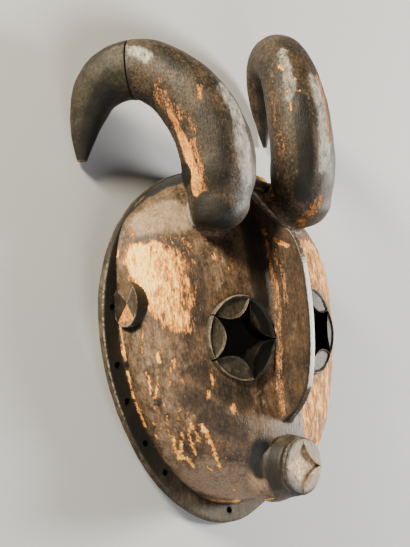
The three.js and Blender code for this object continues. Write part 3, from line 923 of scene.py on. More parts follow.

# %% [markdown]
# The mask's colour is a history, with some light and shade painted into it. A dark stain was laid
# over pale wood, smoke and handling gave it a grey film, and wear has flaked it off again in
# patches, along edges and in short flecks down the grain. Some dark strokes are painted shade and
# shadow rather than stain, a few pale strokes are painted highlights drawn as bare wood, and on the
# horns the film strokes also paint the side lamp's sheen. Each place is a stroke, read from the
# picture in pixels and then found on the wood by looking along the camera's line of sight, so that
# it stays on the wood from every side. A stroke has a strength, a radius and a soft border in mm,
# and the points it runs through. Some strokes stop at the edge of their own part, such as the pale
# patch of the temple beside the ear.

# %% Places where the stain has worn off, and where light and shade are painted
BARE_AND_HIGHLIGHT = {
    "temple": [
        (1.05, 7, 10, [(137, 256), (142, 268), (147, 282)]),
        (0.84, 9, 9, [(150, 252), (160, 266), (163, 284), (165, 300)]),
        (0.68, 9, 8, [(170, 250), (182, 264), (186, 285), (187, 306), (182, 318)]),
        (0.80, 6, 6, [(152, 300), (162, 308), (169, 315), (177, 320)]),
        (0.60, 1.2, 1.4, [(130, 228), (132, 234), (134, 240)]),
    ],
    "cheek_flecks": [
        (0.90, 1.2, 0.8, [(158, 353), (158.5, 362)]),
        (0.77, 0.5, 0.6, [(162, 348), (162, 352)]),
        (0.80, 1.5, 1.0, [(174.4, 361), (174.6, 366)]),
        (0.81, 0.4, 0.6, [(146, 372), (146.5, 380)]),
        (0.90, 0.8, 0.6, [(149, 377), (150, 393)]),
        (0.88, 0.8, 0.6, [(157.5, 376), (156.5, 392)]),
        (0.90, 0.8, 0.6, [(156, 390), (155, 398)]),
        (0.58, 0.7, 1.0, [(171, 368), (171.5, 380)]),
        (0.80, 0.5, 0.6, [(170, 381), (169.5, 386)]),
        (0.85, 0.6, 0.6, [(163.4, 401), (163.8, 407)]),
        (0.80, 0.5, 0.6, [(180, 402), (179.6, 411)]),
        (0.83, 0.4, 0.6, [(154, 405), (155.5, 413)]),
        (0.77, 0.5, 0.6, [(166.5, 416), (167, 426)]),
        (0.73, 0.4, 0.6, [(178, 417), (179, 424)]),
        (0.70, 0.4, 0.6, [(152, 418), (154, 424)]),
        (0.73, 0.4, 0.6, [(141, 344), (141.5, 353)]),
        (0.66, 0.6, 0.8, [(143, 330), (142, 341)]),
        (0.77, 0.4, 0.6, [(156, 435), (158, 442)]),
        (0.73, 0.4, 0.6, [(160, 428), (161, 434)]),
    ],
    "under_the_eye": [
        (0.88, 2.0, 0.9, [(212.6, 376.5), (213, 387)]),
        (0.66, 1.6, 1.3, [(208.5, 371), (213.5, 370)]),
        (0.84, 1.2, 0.8, [(209, 391), (207.8, 401)]),
        (0.59, 0.9, 1.0, [(182, 378), (183.5, 391)]),
        (0.62, 1.0, 1.0, [(184, 397), (188, 391)]),
        (0.58, 0.6, 0.8, [(199, 392), (197, 398)]),
        (0.88, 2.4, 1.0, [(232.8, 406), (233.6, 411.5)]),
        (0.70, 0.6, 0.8, [(234, 398), (233, 403)]),
        (0.58, 0.6, 0.8, [(236, 396), (233, 402)]),
        (0.77, 0.4, 0.5, [(201, 402), (201.2, 407)]),
    ],
    "lower_cheek": [
        (0.92, 1.3, 0.8, [(172.5, 437), (174, 446), (176.5, 452), (179, 459)]),
        (0.95, 1.6, 0.9, [(179, 458.5), (184, 457.5), (189, 460), (193, 467.5)]),
        (0.90, 1.2, 0.8, [(181.5, 442), (180.5, 455)]),
        (0.80, 1.0, 0.8, [(182, 433), (182.4, 438)]),
        (0.86, 0.9, 0.7, [(190.5, 438), (192, 447), (196, 454)]),
        (0.69, 0.6, 0.6, [(188, 412), (189.5, 424), (188.6, 432), (192, 443), (194.7, 454)]),
        (0.84, 1.2, 0.8, [(191, 424), (192, 428)]),
        (0.86, 1.6, 0.8, [(202.5, 425), (204, 430)]),
        (0.92, 1.1, 0.7, [(206, 431), (209, 442), (213.5, 448), (215.5, 458), (220.5, 467.5)]),
        (0.69, 0.4, 0.5, [(193, 413), (195, 419), (198.5, 424)]),
        (0.72, 0.6, 0.6, [(195, 432), (198, 437), (199.5, 443)]),
        (0.84, 1.0, 0.8, [(207.5, 467.5), (212, 470.5)]),
        (0.81, 0.4, 0.6, [(184.5, 472), (188, 474.5)]),
        (0.77, 0.6, 0.6, [(168, 430), (169, 436)]),
        (0.81, 0.6, 0.6, [(214.5, 427), (214.8, 429)]),
        (0.81, 0.6, 0.6, [(222.4, 429), (222.8, 431)]),
        (0.58, 0.4, 0.6, [(237.5, 415), (239, 428), (237.5, 440)]),
    ],
    "chin": [
        (0.92, 1.2, 0.9, [(233, 502.5), (237, 500.5), (243, 505)]),
        (0.86, 0.8, 0.8, [(232, 505.5), (238, 506.5)]),
        (0.95, 1.6, 1.0, [(256.5, 499), (259.5, 501)]),
        (0.90, 1.0, 0.9, [(262, 501), (266, 499.5), (272, 499)]),
        (0.80, 0.7, 0.8, [(234, 489), (236, 490.5)]),
        (0.60, 2.0, 3.0, [(210, 500), (232, 502), (246, 504), (256, 504)]),
    ],
    "edge_of_the_cheek": [
        (0.84, 1.5, 1.0, [(119, 322), (121, 338), (122.5, 350), (124.5, 359)]),
        (0.84, 1.5, 1.0, [(127, 373), (129.5, 385), (132.5, 397)]),
        (0.88, 2.4, 1.4, [(135, 405), (139, 415), (143, 425)]),
        (0.66, 1.4, 1.6, [(152, 446), (159, 457), (166, 464)]),
        (0.58, 1.2, 2.2, [(172, 476), (190, 492), (214, 502)]),
        (0.95, 1.2, 0.9, [(115.8, 237), (116, 246), (117, 256)]),
    ],
    "forehead": [
        (0.62, 0.5, 0.7, [(206, 238), (208.5, 248)]),
        (0.74, 0.9, 0.9, [(221.8, 260.5), (223.2, 262.8)]),
        (0.62, 0.6, 0.8, [(228, 266), (229, 271)]),
        (0.78, 0.6, 0.7, [(216, 276), (216.8, 279.5)]),
        (0.60, 0.6, 0.8, [(221.5, 280), (222, 284)]),
        (0.58, 1.4, 1.6, [(213, 256), (216, 259)]),
        (0.62, 0.4, 0.6, [(223.5, 236.8), (227.5, 236.6)]),
        (0.80, 0.5, 0.7, [(160, 235), (162.5, 236.5)]),
        (0.60, 0.8, 1.2, [(183, 238), (191, 247)]),
    ],
    "nose_foot": [
        (0.63, 2.6, 2.2, [(262.5, 232), (265, 240), (267, 252), (271.5, 272), (275, 288)]),
        (0.56, 2.8, 2.2, [(275, 288), (277.6, 320), (278.4, 345), (280, 380), (282, 412)]),
    ],
    "nose_side": [
        (0.80, 1.4, 1.0, [(280, 243.5), (283.5, 243.2), (287, 246)]),
        (0.64, 1.3, 1.2, [(274.5, 238), (276, 241)]),
        (0.62, 0.7, 1.0, [(276.5, 249), (275, 254)]),
        (0.60, 0.6, 0.8, [(275.5, 258), (276.5, 264)]),
        (0.64, 0.8, 1.0, [(287.5, 295.5), (289, 299)]),
        (0.54, 1.4, 3.0, [(282, 262), (284, 285), (286, 310)]),
    ],
    # Both strokes here are painted highlights drawn as bare wood: along the bank's top edge, and where the
    # forehead meets the left horn.
    "between_the_horns": [
        (1.0, 3.4, 1.6, [(257, 177.5), (262, 179.5), (269, 182.5)]),
        (0.72, 0.7, 1.0, [(268.5, 182), (271.5, 190), (274, 199)]),
    ],
    "right_horn": [
        (0.66, 3.0, 2.6, [(170, 112), (176, 126), (181, 140)]),
        (0.78, 4.2, 2.6, [(181, 138), (188, 156), (193, 173), (196, 190)]),
        (0.60, 2.0, 3.4, [(192, 142), (199, 164), (203, 188)]),
        (0.54, 5.0, 6.0, [(160, 96), (168, 106), (176, 116)]),
        (0.54, 1.6, 4.0, [(158, 80), (159, 98)]),
        (0.55, 1.6, 3.0, [(199.5, 86), (199.5, 99), (197, 112)]),
        (0.48, 4.0, 6.0, [(190, 112), (203, 138), (209, 160)]),
    ],
    "left_horn": [
        (0.84, 1.1, 1.0, [(278.5, 66), (283, 69)]),
        (0.80, 0.7, 0.8, [(286.5, 76), (287.2, 78)]),
        (0.80, 0.7, 0.8, [(294.6, 77), (295.2, 79)]),
        (0.80, 0.8, 0.8, [(286.6, 91), (287.4, 93)]),
        (0.88, 2.6, 1.2, [(292.6, 104), (293.6, 108.5)]),
        (0.62, 1.0, 1.6, [(296, 95), (300, 90)]),
        (0.46, 4.0, 5.0, [(272, 95), (276, 115), (280, 135), (282, 150)]),
        (0.60, 1.6, 2.4, [(318, 76), (323, 92), (328, 115), (330, 140)]),
        (0.56, 4.0, 4.0, [(320, 200), (311, 214), (301, 224)]),
    ],
}
FILM_AND_SHEEN = {
    "beside_the_rim": [(0.42, 2.6, 2.4, [(121, 236), (119.5, 255), (119.5, 278)])],
    "chin": [
        (0.90, 6, 14, [(192, 480), (210, 488), (232, 492), (250, 495)]),
        (0.80, 5, 13, [(208, 470), (232, 476), (262, 485)]),
        (0.60, 5, 8, [(165, 440), (172, 460), (184, 478)]),
    ],
    "cheek": [(0.42, 14, 12, [(150, 350), (160, 385), (172, 415)]), (0.4, 8, 10, [(205, 255), (215, 275)])],
    "forehead": [(0.80, 9, 9, [(146, 222), (168, 212), (178, 218)])],
    # The horns' film strokes also paint the side lamp's sheen: on the right horn's right side and the top
    # of its curl, and on the left horn's right limb.
    "right_horn": [
        (0.62, 2.8, 5.0, [(132, 50), (140, 52), (147, 57)]),
        (0.62, 3.5, 9.0, [(226, 90), (237, 112), (245, 142), (248, 178)]),
        (0.40, 3.0, 5.0, [(108, 54), (122, 48)]),
    ],
    "left_horn": [
        (0.55, 2.0, 6.0, [(282, 52), (288, 75), (291, 98)]),
        (0.66, 3.0, 8.0, [(315, 80), (322, 105), (326, 140), (325, 165)]),
    ],
    "mouth_end": [(0.95, 14, 5, [(300, 462), (308, 470)])],
}
BLACK_AND_SHADE = {
    "crescent": [
        (1.0, 0.8, 0.9, [(113, 240), (119, 227), (126, 216)]),
        (1.0, 1.8, 1.2, [(126, 216), (138, 204), (151, 192.5)]),
        (1.0, 5.6, 1.6, [(151, 192.5), (160, 187), (169, 182)]),
        (1.0, 8.5, 1.8, [(169, 182), (184, 175)]),
    ],
    "horn_tip": [(0.75, 6.0, 5.0, [(104, 92), (94, 115), (90, 140), (88, 158)])],
    # The first right horn stroke is dark stain and painted shade on the underside of the horn's foot.
    "right_horn": [
        (0.85, 12.0, 4.0, [(206, 212), (216, 218), (226, 222)]),
        (0.55, 6.0, 7.0, [(206, 112), (216, 140), (220, 170)]),
        (0.6, 3.0, 3.0, [(165, 55), (178, 66)]),
    ],
    "left_horn": [
        (0.92, 5.2, 3.5, [(299, 100), (303, 125), (306, 150), (306, 175), (302, 195)]),
        (0.7, 4.0, 3.0, [(262, 90), (264, 115), (266, 140)]),
    ],
    # The first forehead stroke is the right horn's painted shadow, between the horn's foot and the nose
    # blade.
    "forehead": [
        (0.85, 6.0, 6.0, [(248, 226), (254, 250), (258, 275), (262, 300)]),
        (0.55, 2.0, 3.0, [(138, 240), (160, 237), (180, 245), (192, 262)]),
        (0.60, 4.0, 5.0, [(196, 262), (200, 290), (200, 320)]),
    ],
    # The dark beside the mouth is painted shade in the crease between the stub and the cheek.
    "beside_the_mouth": [(1.0, 5.2, 4.0, [(261, 446), (258, 458), (260, 471)])],
    "mouth_side": [(0.80, 7.0, 3.0, [(271, 450), (270, 465), (273, 482)])],
    # The dark line under the ear is painted shade.
    "under_the_ear": [(0.9, 1.4, 1.4, [(126, 328.5), (133, 329.5), (140, 326)])],
    # The tie notches are painted shade in the holes.
    "tie_notches": [
        (0.95, 2.0, 1.6, [(126.5, 365)]), (0.95, 2.2, 1.6, [(130, 401)]), (0.95, 2.4, 1.8, [(145.5, 444)]),
        (0.95, 2.6, 1.8, [(165, 472)]),
    ],
    # The first petal stroke is the nose blade's painted shadow on the right eye's petals next to it.
    "petals": [
        (1.0, 7.0, 2.0, [(258, 304), (266, 320), (270, 338), (266, 358), (256, 370)]),
        (0.90, 1.5, 0.9, [(208, 357), (214, 369), (226, 379), (240, 383), (252, 382)]),
    ],
    "under_the_eye": [
        (0.6, 5.0, 6.0, [(203, 374), (225, 392), (245, 400)]),
        (0.6, 6.0, 7.0, [(190, 398), (203, 408), (215, 420), (240, 430)]),
    ],
    "worm_holes": [
        (1.0, 0.9, 0.6, [(116, 273), (116.3, 277)]),
        (1.0, 0.8, 0.5, [(138.5, 425), (140, 428)]),
        (1.0, 0.8, 0.5, [(142, 429), (143.5, 433)]),
        (1.0, 0.6, 0.5, [(117, 289), (117.2, 291)]),
    ],
}
print(sum(len(strokes) for strokes in BARE_AND_HIGHLIGHT.values()), "worn strokes")

# %% Find the strokes on the wood
STROKE_STEP = 3.0
LONGEST_JUMP = 20.0


def sight_tree(pieces):
    """A search tree over all the pieces' faces, for looking along a line of sight."""
    points, faces = [], []
    for piece in pieces:
        first = len(points)
        points += [tuple(v.co) for v in piece.data.vertices]
        faces += [tuple(first + i for i in p.vertices) for p in piece.data.polygons]
    return BVHTree.FromPolygons(points, faces)


wood_seen = sight_tree([carved, horn_tip])


def found_on_wood(x, y):
    """The point of the wood that a pixel of the picture shows, or None beside the mask."""
    ray = LENS_PIXELS * sight + (x - PICTURE_MIDDLE[0]) * right + (PICTURE_MIDDLE[1] - y) * top
    hit = wood_seen.ray_cast(Vector(EYEPOINT), Vector(unit(ray)))[0]
    return None if hit is None else np.array(hit)


def stroke_on_wood(pixels):
    """Short lines on the wood that follow a stroke through pixels."""
    samples = []
    for here, there in zip(pixels, pixels[1:]):
        steps = max(1, math.ceil(math.dist(here, there) / STROKE_STEP))
        samples += [blend(np.array(here), np.array(there), k / steps) for k in range(steps)]
    samples.append(np.array(pixels[-1]))
    found = [found_on_wood(*sample) for sample in samples]
    found = [point for point in found if point is not None]
    if len(found) == 1:
        return [(found[0], found[0])]
    pairs = zip(found, found[1:])
    return [(a, b) for a, b in pairs if np.linalg.norm(a - b) < LONGEST_JUMP]


def near_lines(points, lines, radius, border):
    """1 within a radius of short lines, fading to 0 over the border."""
    result = np.zeros(len(points))
    ends = np.array(lines).reshape(-1, 3)
    reach = radius + border
    boxed = (points > ends.min(axis=0) - reach) & (points < ends.max(axis=0) + reach)
    close = np.flatnonzero(boxed.all(axis=1))
    local = points[close]
    distance = np.full(len(close), np.inf)
    for a, b in lines:
        run = b - a
        share = np.clip((local - a) @ run / max(run @ run, 1e-9), 0, 1)
        distance = np.minimum(distance, np.linalg.norm(local - a - np.outer(share, run), axis=1))
    result[close] = 1 - smoothstep(distance, radius, reach)
    return result


STAYS_ON = {
    "temple": "face", "edge_of_the_cheek": "face", "beside_the_mouth": "face", "chin": "face",
    "mouth_side": "mouth", "mouth_end": "mouth", "petals": "petal", "nose_side": "blade",
    "right_horn": "horn", "left_horn": "horn",
}
STROKE_LINES = {}
for label, places in (("bare_and_highlight", BARE_AND_HIGHLIGHT), ("film_and_sheen", FILM_AND_SHEEN), ("black_and_shade", BLACK_AND_SHADE)):
    STROKE_LINES[label] = []
    for place, strokes in places.items():
        for *brush, pixels in strokes:
            STROKE_LINES[label].append((STAYS_ON.get(place), *brush, stroke_on_wood(pixels)))
    missing = sum(not lines for *_, lines in STROKE_LINES[label])
    print(label, "strokes:", len(STROKE_LINES[label]), "of which not on the wood:", missing)


def painted(points, shares, label, start):
    """The strongest stroke of a kind at every point, over a starting value."""
    result = start.copy()
    for part, strength, radius, border, lines in STROKE_LINES[label]:
        if lines:
            cover = near_lines(points, lines, radius, border) * (shares[part] if part else 1)
            result = np.maximum(result, blend(result, strength, cover))
    return result


# %% [markdown]
# Some wear follows from the shape, whatever the picture shows: edges lose their stain first, and
# the far cheek, which the picture shows only along its edge, has lost most of its stain. Some
# painted shade follows from the shape too: corners are darkened, and so are the tie holes, the
# foot of the star's walls, the groove behind the mouth's end, the side of each ear's stub that
# faces forward and a line beside the nose's front. The nose's narrow front is painted pale, as
# wear and as a painted highlight of the side lamp. The mirror side of the head and the back aren't
# in the picture, so they get the same kinds of wear, a little weaker. All of it is kept on the
# mesh as five named values.

# %% The four facets of an ear
def ear_facets(points, side, on_ear):
    """The four facets of an ear's end, its two front ridges, its underside and its nose side."""
    forward = (points[:, 2] - EAR_MIDDLE[1] - EAR_APEX_FORWARD) / EAR_HALF_DEPTH
    up = (points[:, 1] - EAR_MIDDLE[0]) / EAR_HALF_HEIGHT
    corner = math.sqrt(0.5)
    apex = EAR_APEX_FORWARD / EAR_HALF_DEPTH
    slope = np.where(forward > 0, corner / (corner - apex), corner / (corner + apex))
    past_ridge = np.abs(up) - slope * np.abs(forward)
    out = side * points[:, 0]
    on_end = (out > EAR_OUT[side] - 0.2) & (np.hypot(up, forward + apex) < 1)
    end_facet = on_end & (np.maximum(np.abs(up), np.abs(forward + apex)) < corner)
    facet = {
        "up": end_facet & (past_ridge > 0) & (up > 0),
        "down": end_facet & (past_ridge > 0) & (up <= 0),
        "front": end_facet & (past_ridge <= 0) & (forward > 0),
        "back": end_facet & (past_ridge <= 0) & (forward <= 0),
        "below": on_end & ~end_facet & (up < -0.5),
        "ridge": end_facet & (np.abs(past_ridge) < 0.05) & (forward > -0.02),
        "side": (out < EAR_OUT[side] - 0.5) & (out > 0) & (forward + apex > 0.35),
    }
    return {name: on_ear * share for name, share in facet.items()}


# %% Work out the wear of a piece
LIP_WIDTH = 1.3
LIP_FADES_AT = 80
STAR_DARK_BELOW = 88.5


def in_from_rim(x, y):
    """Distance in from the egg's outline."""
    s = y / EGG_HALF_HEIGHT
    size = np.hypot(s, x / (EGG_HALF_WIDTH * (1 + EGG_TAPER * s)))
    return (1 - size) * np.hypot(x, y) / np.maximum(size, 0.01)


def wear_and_painted_light_of(mesh, points, normals):
    shares = finish_shares(mesh)
    outstanding = spread(mesh, standing_out(mesh, points, normals), 1)
    x, y, z = points.T
    slow = soft_noise(points, 26.0, 11)
    quick = soft_noise(points, 7.0, 12)
    start = 0.26 + 0.10 * slow + 0.05 * quick
    far_cheek = shares["face"] * smoothstep(x, 8, 22) * (1 - smoothstep(y, 118, 130))
    far_cheek *= 1 - 0.35 * smoothstep(-y, 90, 130)
    still_stained = soft_noise(points, 34.0, 15) + smoothstep(x, 70, 105) + smoothstep(y, 60, 100)
    streaks = soft_noise(points / (1, 5, 1), 3.5, 16)
    start += (0.40 + 0.22 * streaks) * far_cheek * (1 - 0.62 * smoothstep(still_stained, 0.5, 1.1))
    low_cheek = shares["face"] * smoothstep(-x, 40, 85) * smoothstep(20 - y, 10, 60)
    start += 0.04 * low_cheek * (1 - smoothstep(-y, 95, 118))
    start = np.where(shares["hollow"] > 0.5, 0.36 + 0.06 * slow, start)
    film_start = 0.20 + 0.12 * soft_noise(points, 18.0, 13) - 0.16 * shares["horn"] - 0.12 * shares["mouth"]
    ear_dark_and_shade = np.zeros(len(points))
    ear_edge = np.zeros(len(points))
    for side in (-1, 1):
        facet = ear_facets(points, side, shares["ear"])
        start = blend(start, 0.37, facet["up"])
        start = blend(start, 0.74, facet["down"])
        film_start = blend(film_start, 0.85, np.maximum(facet["below"], 0.22 * facet["front"]))
        # The ear's back and front facets are stained dark, and the side of its stub that faces forward is
        # painted black as shade.
        ear_dark_and_shade = np.maximum(ear_dark_and_shade, np.maximum(0.8 * facet["back"], 0.95 * facet["side"]))
        ear_dark_and_shade = np.maximum(ear_dark_and_shade, 0.62 * facet["front"])
        ear_edge = np.maximum(ear_edge, facet["ridge"])
    from_edge = in_from_rim(x, y)
    lip = shares["rim"] * (1 - smoothstep(from_edge, LIP_WIDTH - 0.6, LIP_WIDTH + 0.4))
    lip *= smoothstep(LIP_FADES_AT - y, 0, 40)
    round_the_chin = shares["rim"] * (1 - smoothstep(y, -132, -85))
    film_start = np.maximum(film_start, np.maximum(0.32 * lip, 0.56 * round_the_chin))
    bare_and_highlight = painted(points, shares, "bare_and_highlight", start)
    film_and_sheen = painted(points, shares, "film_and_sheen", film_start)
    ledge = shares["rim"] * smoothstep(z, 3.0, 6.0) * (1 - lip) * (1 - 0.75 * round_the_chin)
    black_and_shade = np.maximum(0.9 * ledge, ear_dark_and_shade)
    # The tie holes are painted black as shade, and the rim just round them is darkened with them.
    for hole_x, hole_y in hole_places:
        round_hole = 1 - smoothstep(np.hypot(x - hole_x, y - hole_y), 3.0, 5.2)
        black_and_shade = np.maximum(black_and_shade, round_hole * (z > 1) * (z < 9) * (shares["ear"] == 0))
    # The foot of the star's walls is painted dark as shade in the recess.
    star_wall_shade = shares["star"] * (shares["star"] < 0.95)
    black_and_shade = np.maximum(black_and_shade, 0.7 * (star_wall_shade > 0) * (z < STAR_DARK_BELOW))
    # The groove behind the mouth's end is painted dark as shade.
    out_of_mouth = mouth_height(points)
    groove = smoothstep(out_of_mouth, GROOVE[0] - 0.6, GROOVE[0]) * (1 - smoothstep(out_of_mouth, *GROOVE))
    black_and_shade = np.maximum(black_and_shade, 0.9 * shares["mouth"] * groove * (from_mouth_line(points) > 18))
    edge = smoothstep(outstanding, 0.05, 0.28)
    # The nose's narrow front is painted pale: wear, and a painted highlight of the side lamp, weaker near
    # its top and bottom.
    down_the_blade = blade_front(np.clip(y, BLADE_OUTLINE[-1][0], BLADE_OUTLINE[0][0])) - z
    front_highlight_and_wear = shares["blade"] * (1 - smoothstep(np.abs(x), 2.3, 2.6)) * (down_the_blade < 1.0) * (z > 60)
    highlight_and_wear_along = blend(0.22, 1, smoothstep(62 - y, 0, 14)) * blend(0.15, 1, smoothstep(y + 48, 0, 12))
    edge = np.maximum(edge * (1 - shares["blade"]) * (1 - 0.8 * shares["rim"]), front_highlight_and_wear * highlight_and_wear_along)
    lip_line = shares["rim"] * np.exp(-((from_edge - LIP_WIDTH) / 0.8) ** 2) * (z > 5)
    edge = np.maximum(edge, 0.8 * lip_line * smoothstep(y, -90, -40) * smoothstep(LIP_FADES_AT - y, 0, 25))
    # A dark line beside the nose's front is painted shade.
    shade_beside_front = smoothstep(down_the_blade, 0.4, 0.9) * (1 - smoothstep(down_the_blade, 1.9, 2.9))
    black_and_shade = np.maximum(black_and_shade, 0.9 * shares["blade"] * shade_beside_front * (z > 60))
    edge = np.maximum(edge * (1 - 0.8 * shares["ear"]), ear_edge)
    return {
        "bare_and_highlight": bare_and_highlight,
        "film_and_sheen": film_and_sheen,
        "black_and_shade": painted(points, shares, "black_and_shade", black_and_shade),
        "edge": edge,
        # Corners are painted dark as shade.
        "corner": smoothstep(-outstanding, 0.03, 0.22),
    }, shares


# %% [markdown]
# The tools' marks go into the mesh itself. Horns were shaved with a knife, which leaves small
# flats. The face was smoothed down the grain. The hollow still shows the deep scoops of a gouge,
# since only the wearer sees it. Where the stain has flaked off in patches, and under the few
# painted highlights drawn as bare wood, the wood lies a little lower. Near the floor and at the
# horn's joint the marks fade, so the mask rests as the solids do.

# %% Carve the surface
MARKS = {
    "face": (0.22, (9, 24, 9)), "horn": (0.34, (11, 13, 11)), "petal": (0.08, (5, 5, 5)),
    "blade": (0.16, (8, 26, 14)), "mouth": (0.20, (8, 8, 12)), "ear": (0.10, (6, 6, 6)),
    "rim": (0.22, (10, 10, 10)), "hollow": (1.0, (13, 26, 13)), "star": (0.25, (6, 5, 5)),
    "hole": (0.10, (5, 5, 5)),
}
FLAKE_DEPTH = 0.35
JOINT_POINT, JOINT_ALONG, _ = horn_place(RIGHT_HORN, JOINT_AT)


def carve_surface(made):
    mesh = made.data
    points = values_of(mesh.vertices, "co", 3).astype(float)
    normals = values_of(mesh.vertex_normals, "vector", 3).astype(float)
    values, shares = wear_and_painted_light_of(mesh, points, normals)
    depth = np.zeros(len(points))
    for finish, (deep, size) in MARKS.items():
        here = shares[finish] > 0
        marks = 1 - tool_marks(points[here], size, 40 + FINISHES.index(finish))
        depth[here] -= shares[finish][here] * deep * marks
    wave = 0.45 * soft_noise(points, 38.0, 3) + 0.2 * soft_noise(points, 14.0, 4)
    calm = 0.7 * (shares["petal"] + shares["mouth"] + shares["ear"]) + 0.5 * shares["blade"]
    depth += wave * (1 - calm)
    flaked_and_highlit = smoothstep(values["bare_and_highlight"] + 0.1 * soft_noise(points, 4.0, 5), 0.56, 0.68)
    depth -= FLAKE_DEPTH * flaked_and_highlit * (1 - values["edge"])
    from_joint = np.abs((points - JOINT_POINT) @ JOINT_ALONG)
    from_joint = np.where(np.linalg.norm(points - JOINT_POINT, axis=1) < 40, from_joint, 40)
    height = laid_down(points)[:, 2] / MM
    depth *= smoothstep(height, 1.0, 5.0) * smoothstep(from_joint, 0.4, 3.0)
    points += normals * depth[:, None]
    values["black_and_shade"] = np.maximum(values["black_and_shade"], 1 - smoothstep(from_joint, 0.5, 1.3))
    mesh.vertices.foreach_set("co", laid_down(points).astype(np.float32).ravel())
    for name, value in values.items():
        layer = mesh.attributes.new(name, "FLOAT", "POINT")
        layer.data.foreach_set("value", value.astype(np.float32))
    mesh.shade_smooth()
    mesh.set_sharp_from_angle(angle=math.radians(34))
    mesh.update()
    print(made.name, "carved, deepest", round(float(-depth.min()), 2), "mm,", len(points), "points")


for made in (carved, horn_tip):
    carve_surface(made)

# %% [markdown]
# Materials are built from nodes. A small bench object puts nodes into a tree and wires them, so
# that each recipe below reads as a list of steps.

# %% A bench for wiring nodes
class Bench:
    def __init__(self, tree):
        self.tree = tree

    def put(self, kind, sockets=(), **settings):
        """Adds a node. A socket given a socket is wired to it, and any other value is set on it."""
        node = self.tree.nodes.new(kind)
        for key, value in settings.items():
            setattr(node, key, value)
        for key, value in dict(sockets).items():
            if isinstance(value, bpy.types.NodeSocket):
                self.tree.links.new(value, node.inputs[key])
            else:
                node.inputs[key].default_value = value
        return node

    def sum(self, operation, a, b, clamp=False):
        return self.put("ShaderNodeMath", {0: a, 1: b}, operation=operation, use_clamp=clamp).outputs[0]

    def ramp(self, value, start, end):
        """Smoothly from 0 at the start to 1 at the end."""
        sockets = {"Value": value, "From Min": start, "From Max": end}
        return self.put("ShaderNodeMapRange", sockets, interpolation_type="SMOOTHSTEP").outputs["Result"]

    def noise(self, vector, scale, detail=3.0, roughness=0.5):
        sockets = {"Vector": vector, "Scale": scale, "Detail": detail, "Roughness": roughness}
        return self.put("ShaderNodeTexNoise", sockets).outputs["Fac"]

    def colour(self, factor, a, b):
        """Colour a where the factor is 0 and colour b where it is 1."""
        node = self.put("ShaderNodeMix", data_type="RGBA")
        for key, value in ((0, factor), (6, a), (7, b)):
            if isinstance(value, bpy.types.NodeSocket):
                self.tree.links.new(value, node.inputs[key])
            else:
                node.inputs[key].default_value = value
        return node.outputs[2]

    def shades(self, value, stops):
        """A row of colours, each reached at its own value."""
        node = self.put("ShaderNodeValToRGB", {"Fac": value})
        row = node.color_ramp.elements
        while len(row) < len(stops):
            row.new(0.5)
        for element, (position, shade) in zip(row, stops):
            element.position = position
            element.color = (*shade, 1)
        return node.outputs["Color"]

    def millimetres(self, stretch=(1, 1, 1)):
        """The place on the object in mm. A stretch above 1 makes what follows longer that way."""
        place = self.put("ShaderNodeTexCoord").outputs["Object"]
        factors = tuple(1 / MM / s for s in stretch)
        return self.put("ShaderNodeVectorMath", {0: place, 1: factors}, operation="MULTIPLY").outputs[0]


def effect(name, inputs, outputs):
    """A shader group with named inputs and outputs, and a bench to fill it."""
    tree = bpy.data.node_groups.new(name, "ShaderNodeTree")
    for label, value in inputs.items():
        socket = tree.interface.new_socket(name=label, in_out="INPUT", socket_type="NodeSocketFloat")
        socket.default_value = value
    for label, kind in outputs.items():
        tree.interface.new_socket(name=label, in_out="OUTPUT", socket_type="NodeSocket" + kind)
    return Bench(tree), tree.nodes.new("NodeGroupInput").outputs, tree.nodes.new("NodeGroupOutput").inputs


# %% [markdown]
# The grain is the first effect that every wooden part shares. Fibres are a fine noise drawn out
# along the height of the mask, because the block stood upright in the tree. Pores are the short
# dark dashes where the fibres are cut open. Mottling is the uneven taking of the stain. Pits are
# the small dark dents and dirt spots all over, and glints the rubbed high spots between them.

# %% The grain group
def grain_group():
    outputs = {name: "Float" for name in ("Fibres", "Pores", "Mottling", "Pits", "Glints")}
    bench, given, wanted = effect("grain", {"Fineness": 1.0}, outputs)
    link = bench.tree.links.new
    along = bench.millimetres((1.0, 11.0, 1.0))
    fibre_scale = bench.sum("MULTIPLY", given["Fineness"], 0.85)
    link(bench.ramp(bench.noise(along, fibre_scale, 4, 0.6), 0.3, 0.7), wanted["Fibres"])
    short = bench.millimetres((1.0, 4.5, 1.0))
    pore_scale = bench.sum("MULTIPLY", given["Fineness"], 1.3)
    link(bench.ramp(bench.noise(short, pore_scale, 1, 0.4), 0.62, 0.72), wanted["Pores"])
    patches = bench.noise(bench.millimetres((1, 1.8, 1)), 0.085, 5, 0.62)
    link(bench.ramp(patches, 0.32, 0.68), wanted["Mottling"])
    speck_scale = bench.sum("MULTIPLY", given["Fineness"], 0.5)
    speckle = bench.noise(bench.millimetres((1, 1.3, 1)), speck_scale, 3, 0.7)
    link(bench.ramp(speckle, 0.52, 0.66), wanted["Pits"])
    link(bench.ramp(speckle, 0.47, 0.34), wanted["Glints"])
    return bench.tree


GRAIN = grain_group()

# %% [markdown]
# Flaking is the second shared effect. It takes the smooth wear value that the mesh carries, which
# also holds a few painted highlights drawn as bare wood, and breaks it up with chips and flecks
# that run down the grain. The same broken value then picks the colour: just under the stain the
# wood is red-brown, then orange and tan, and where it has been bare for longest it is cream.

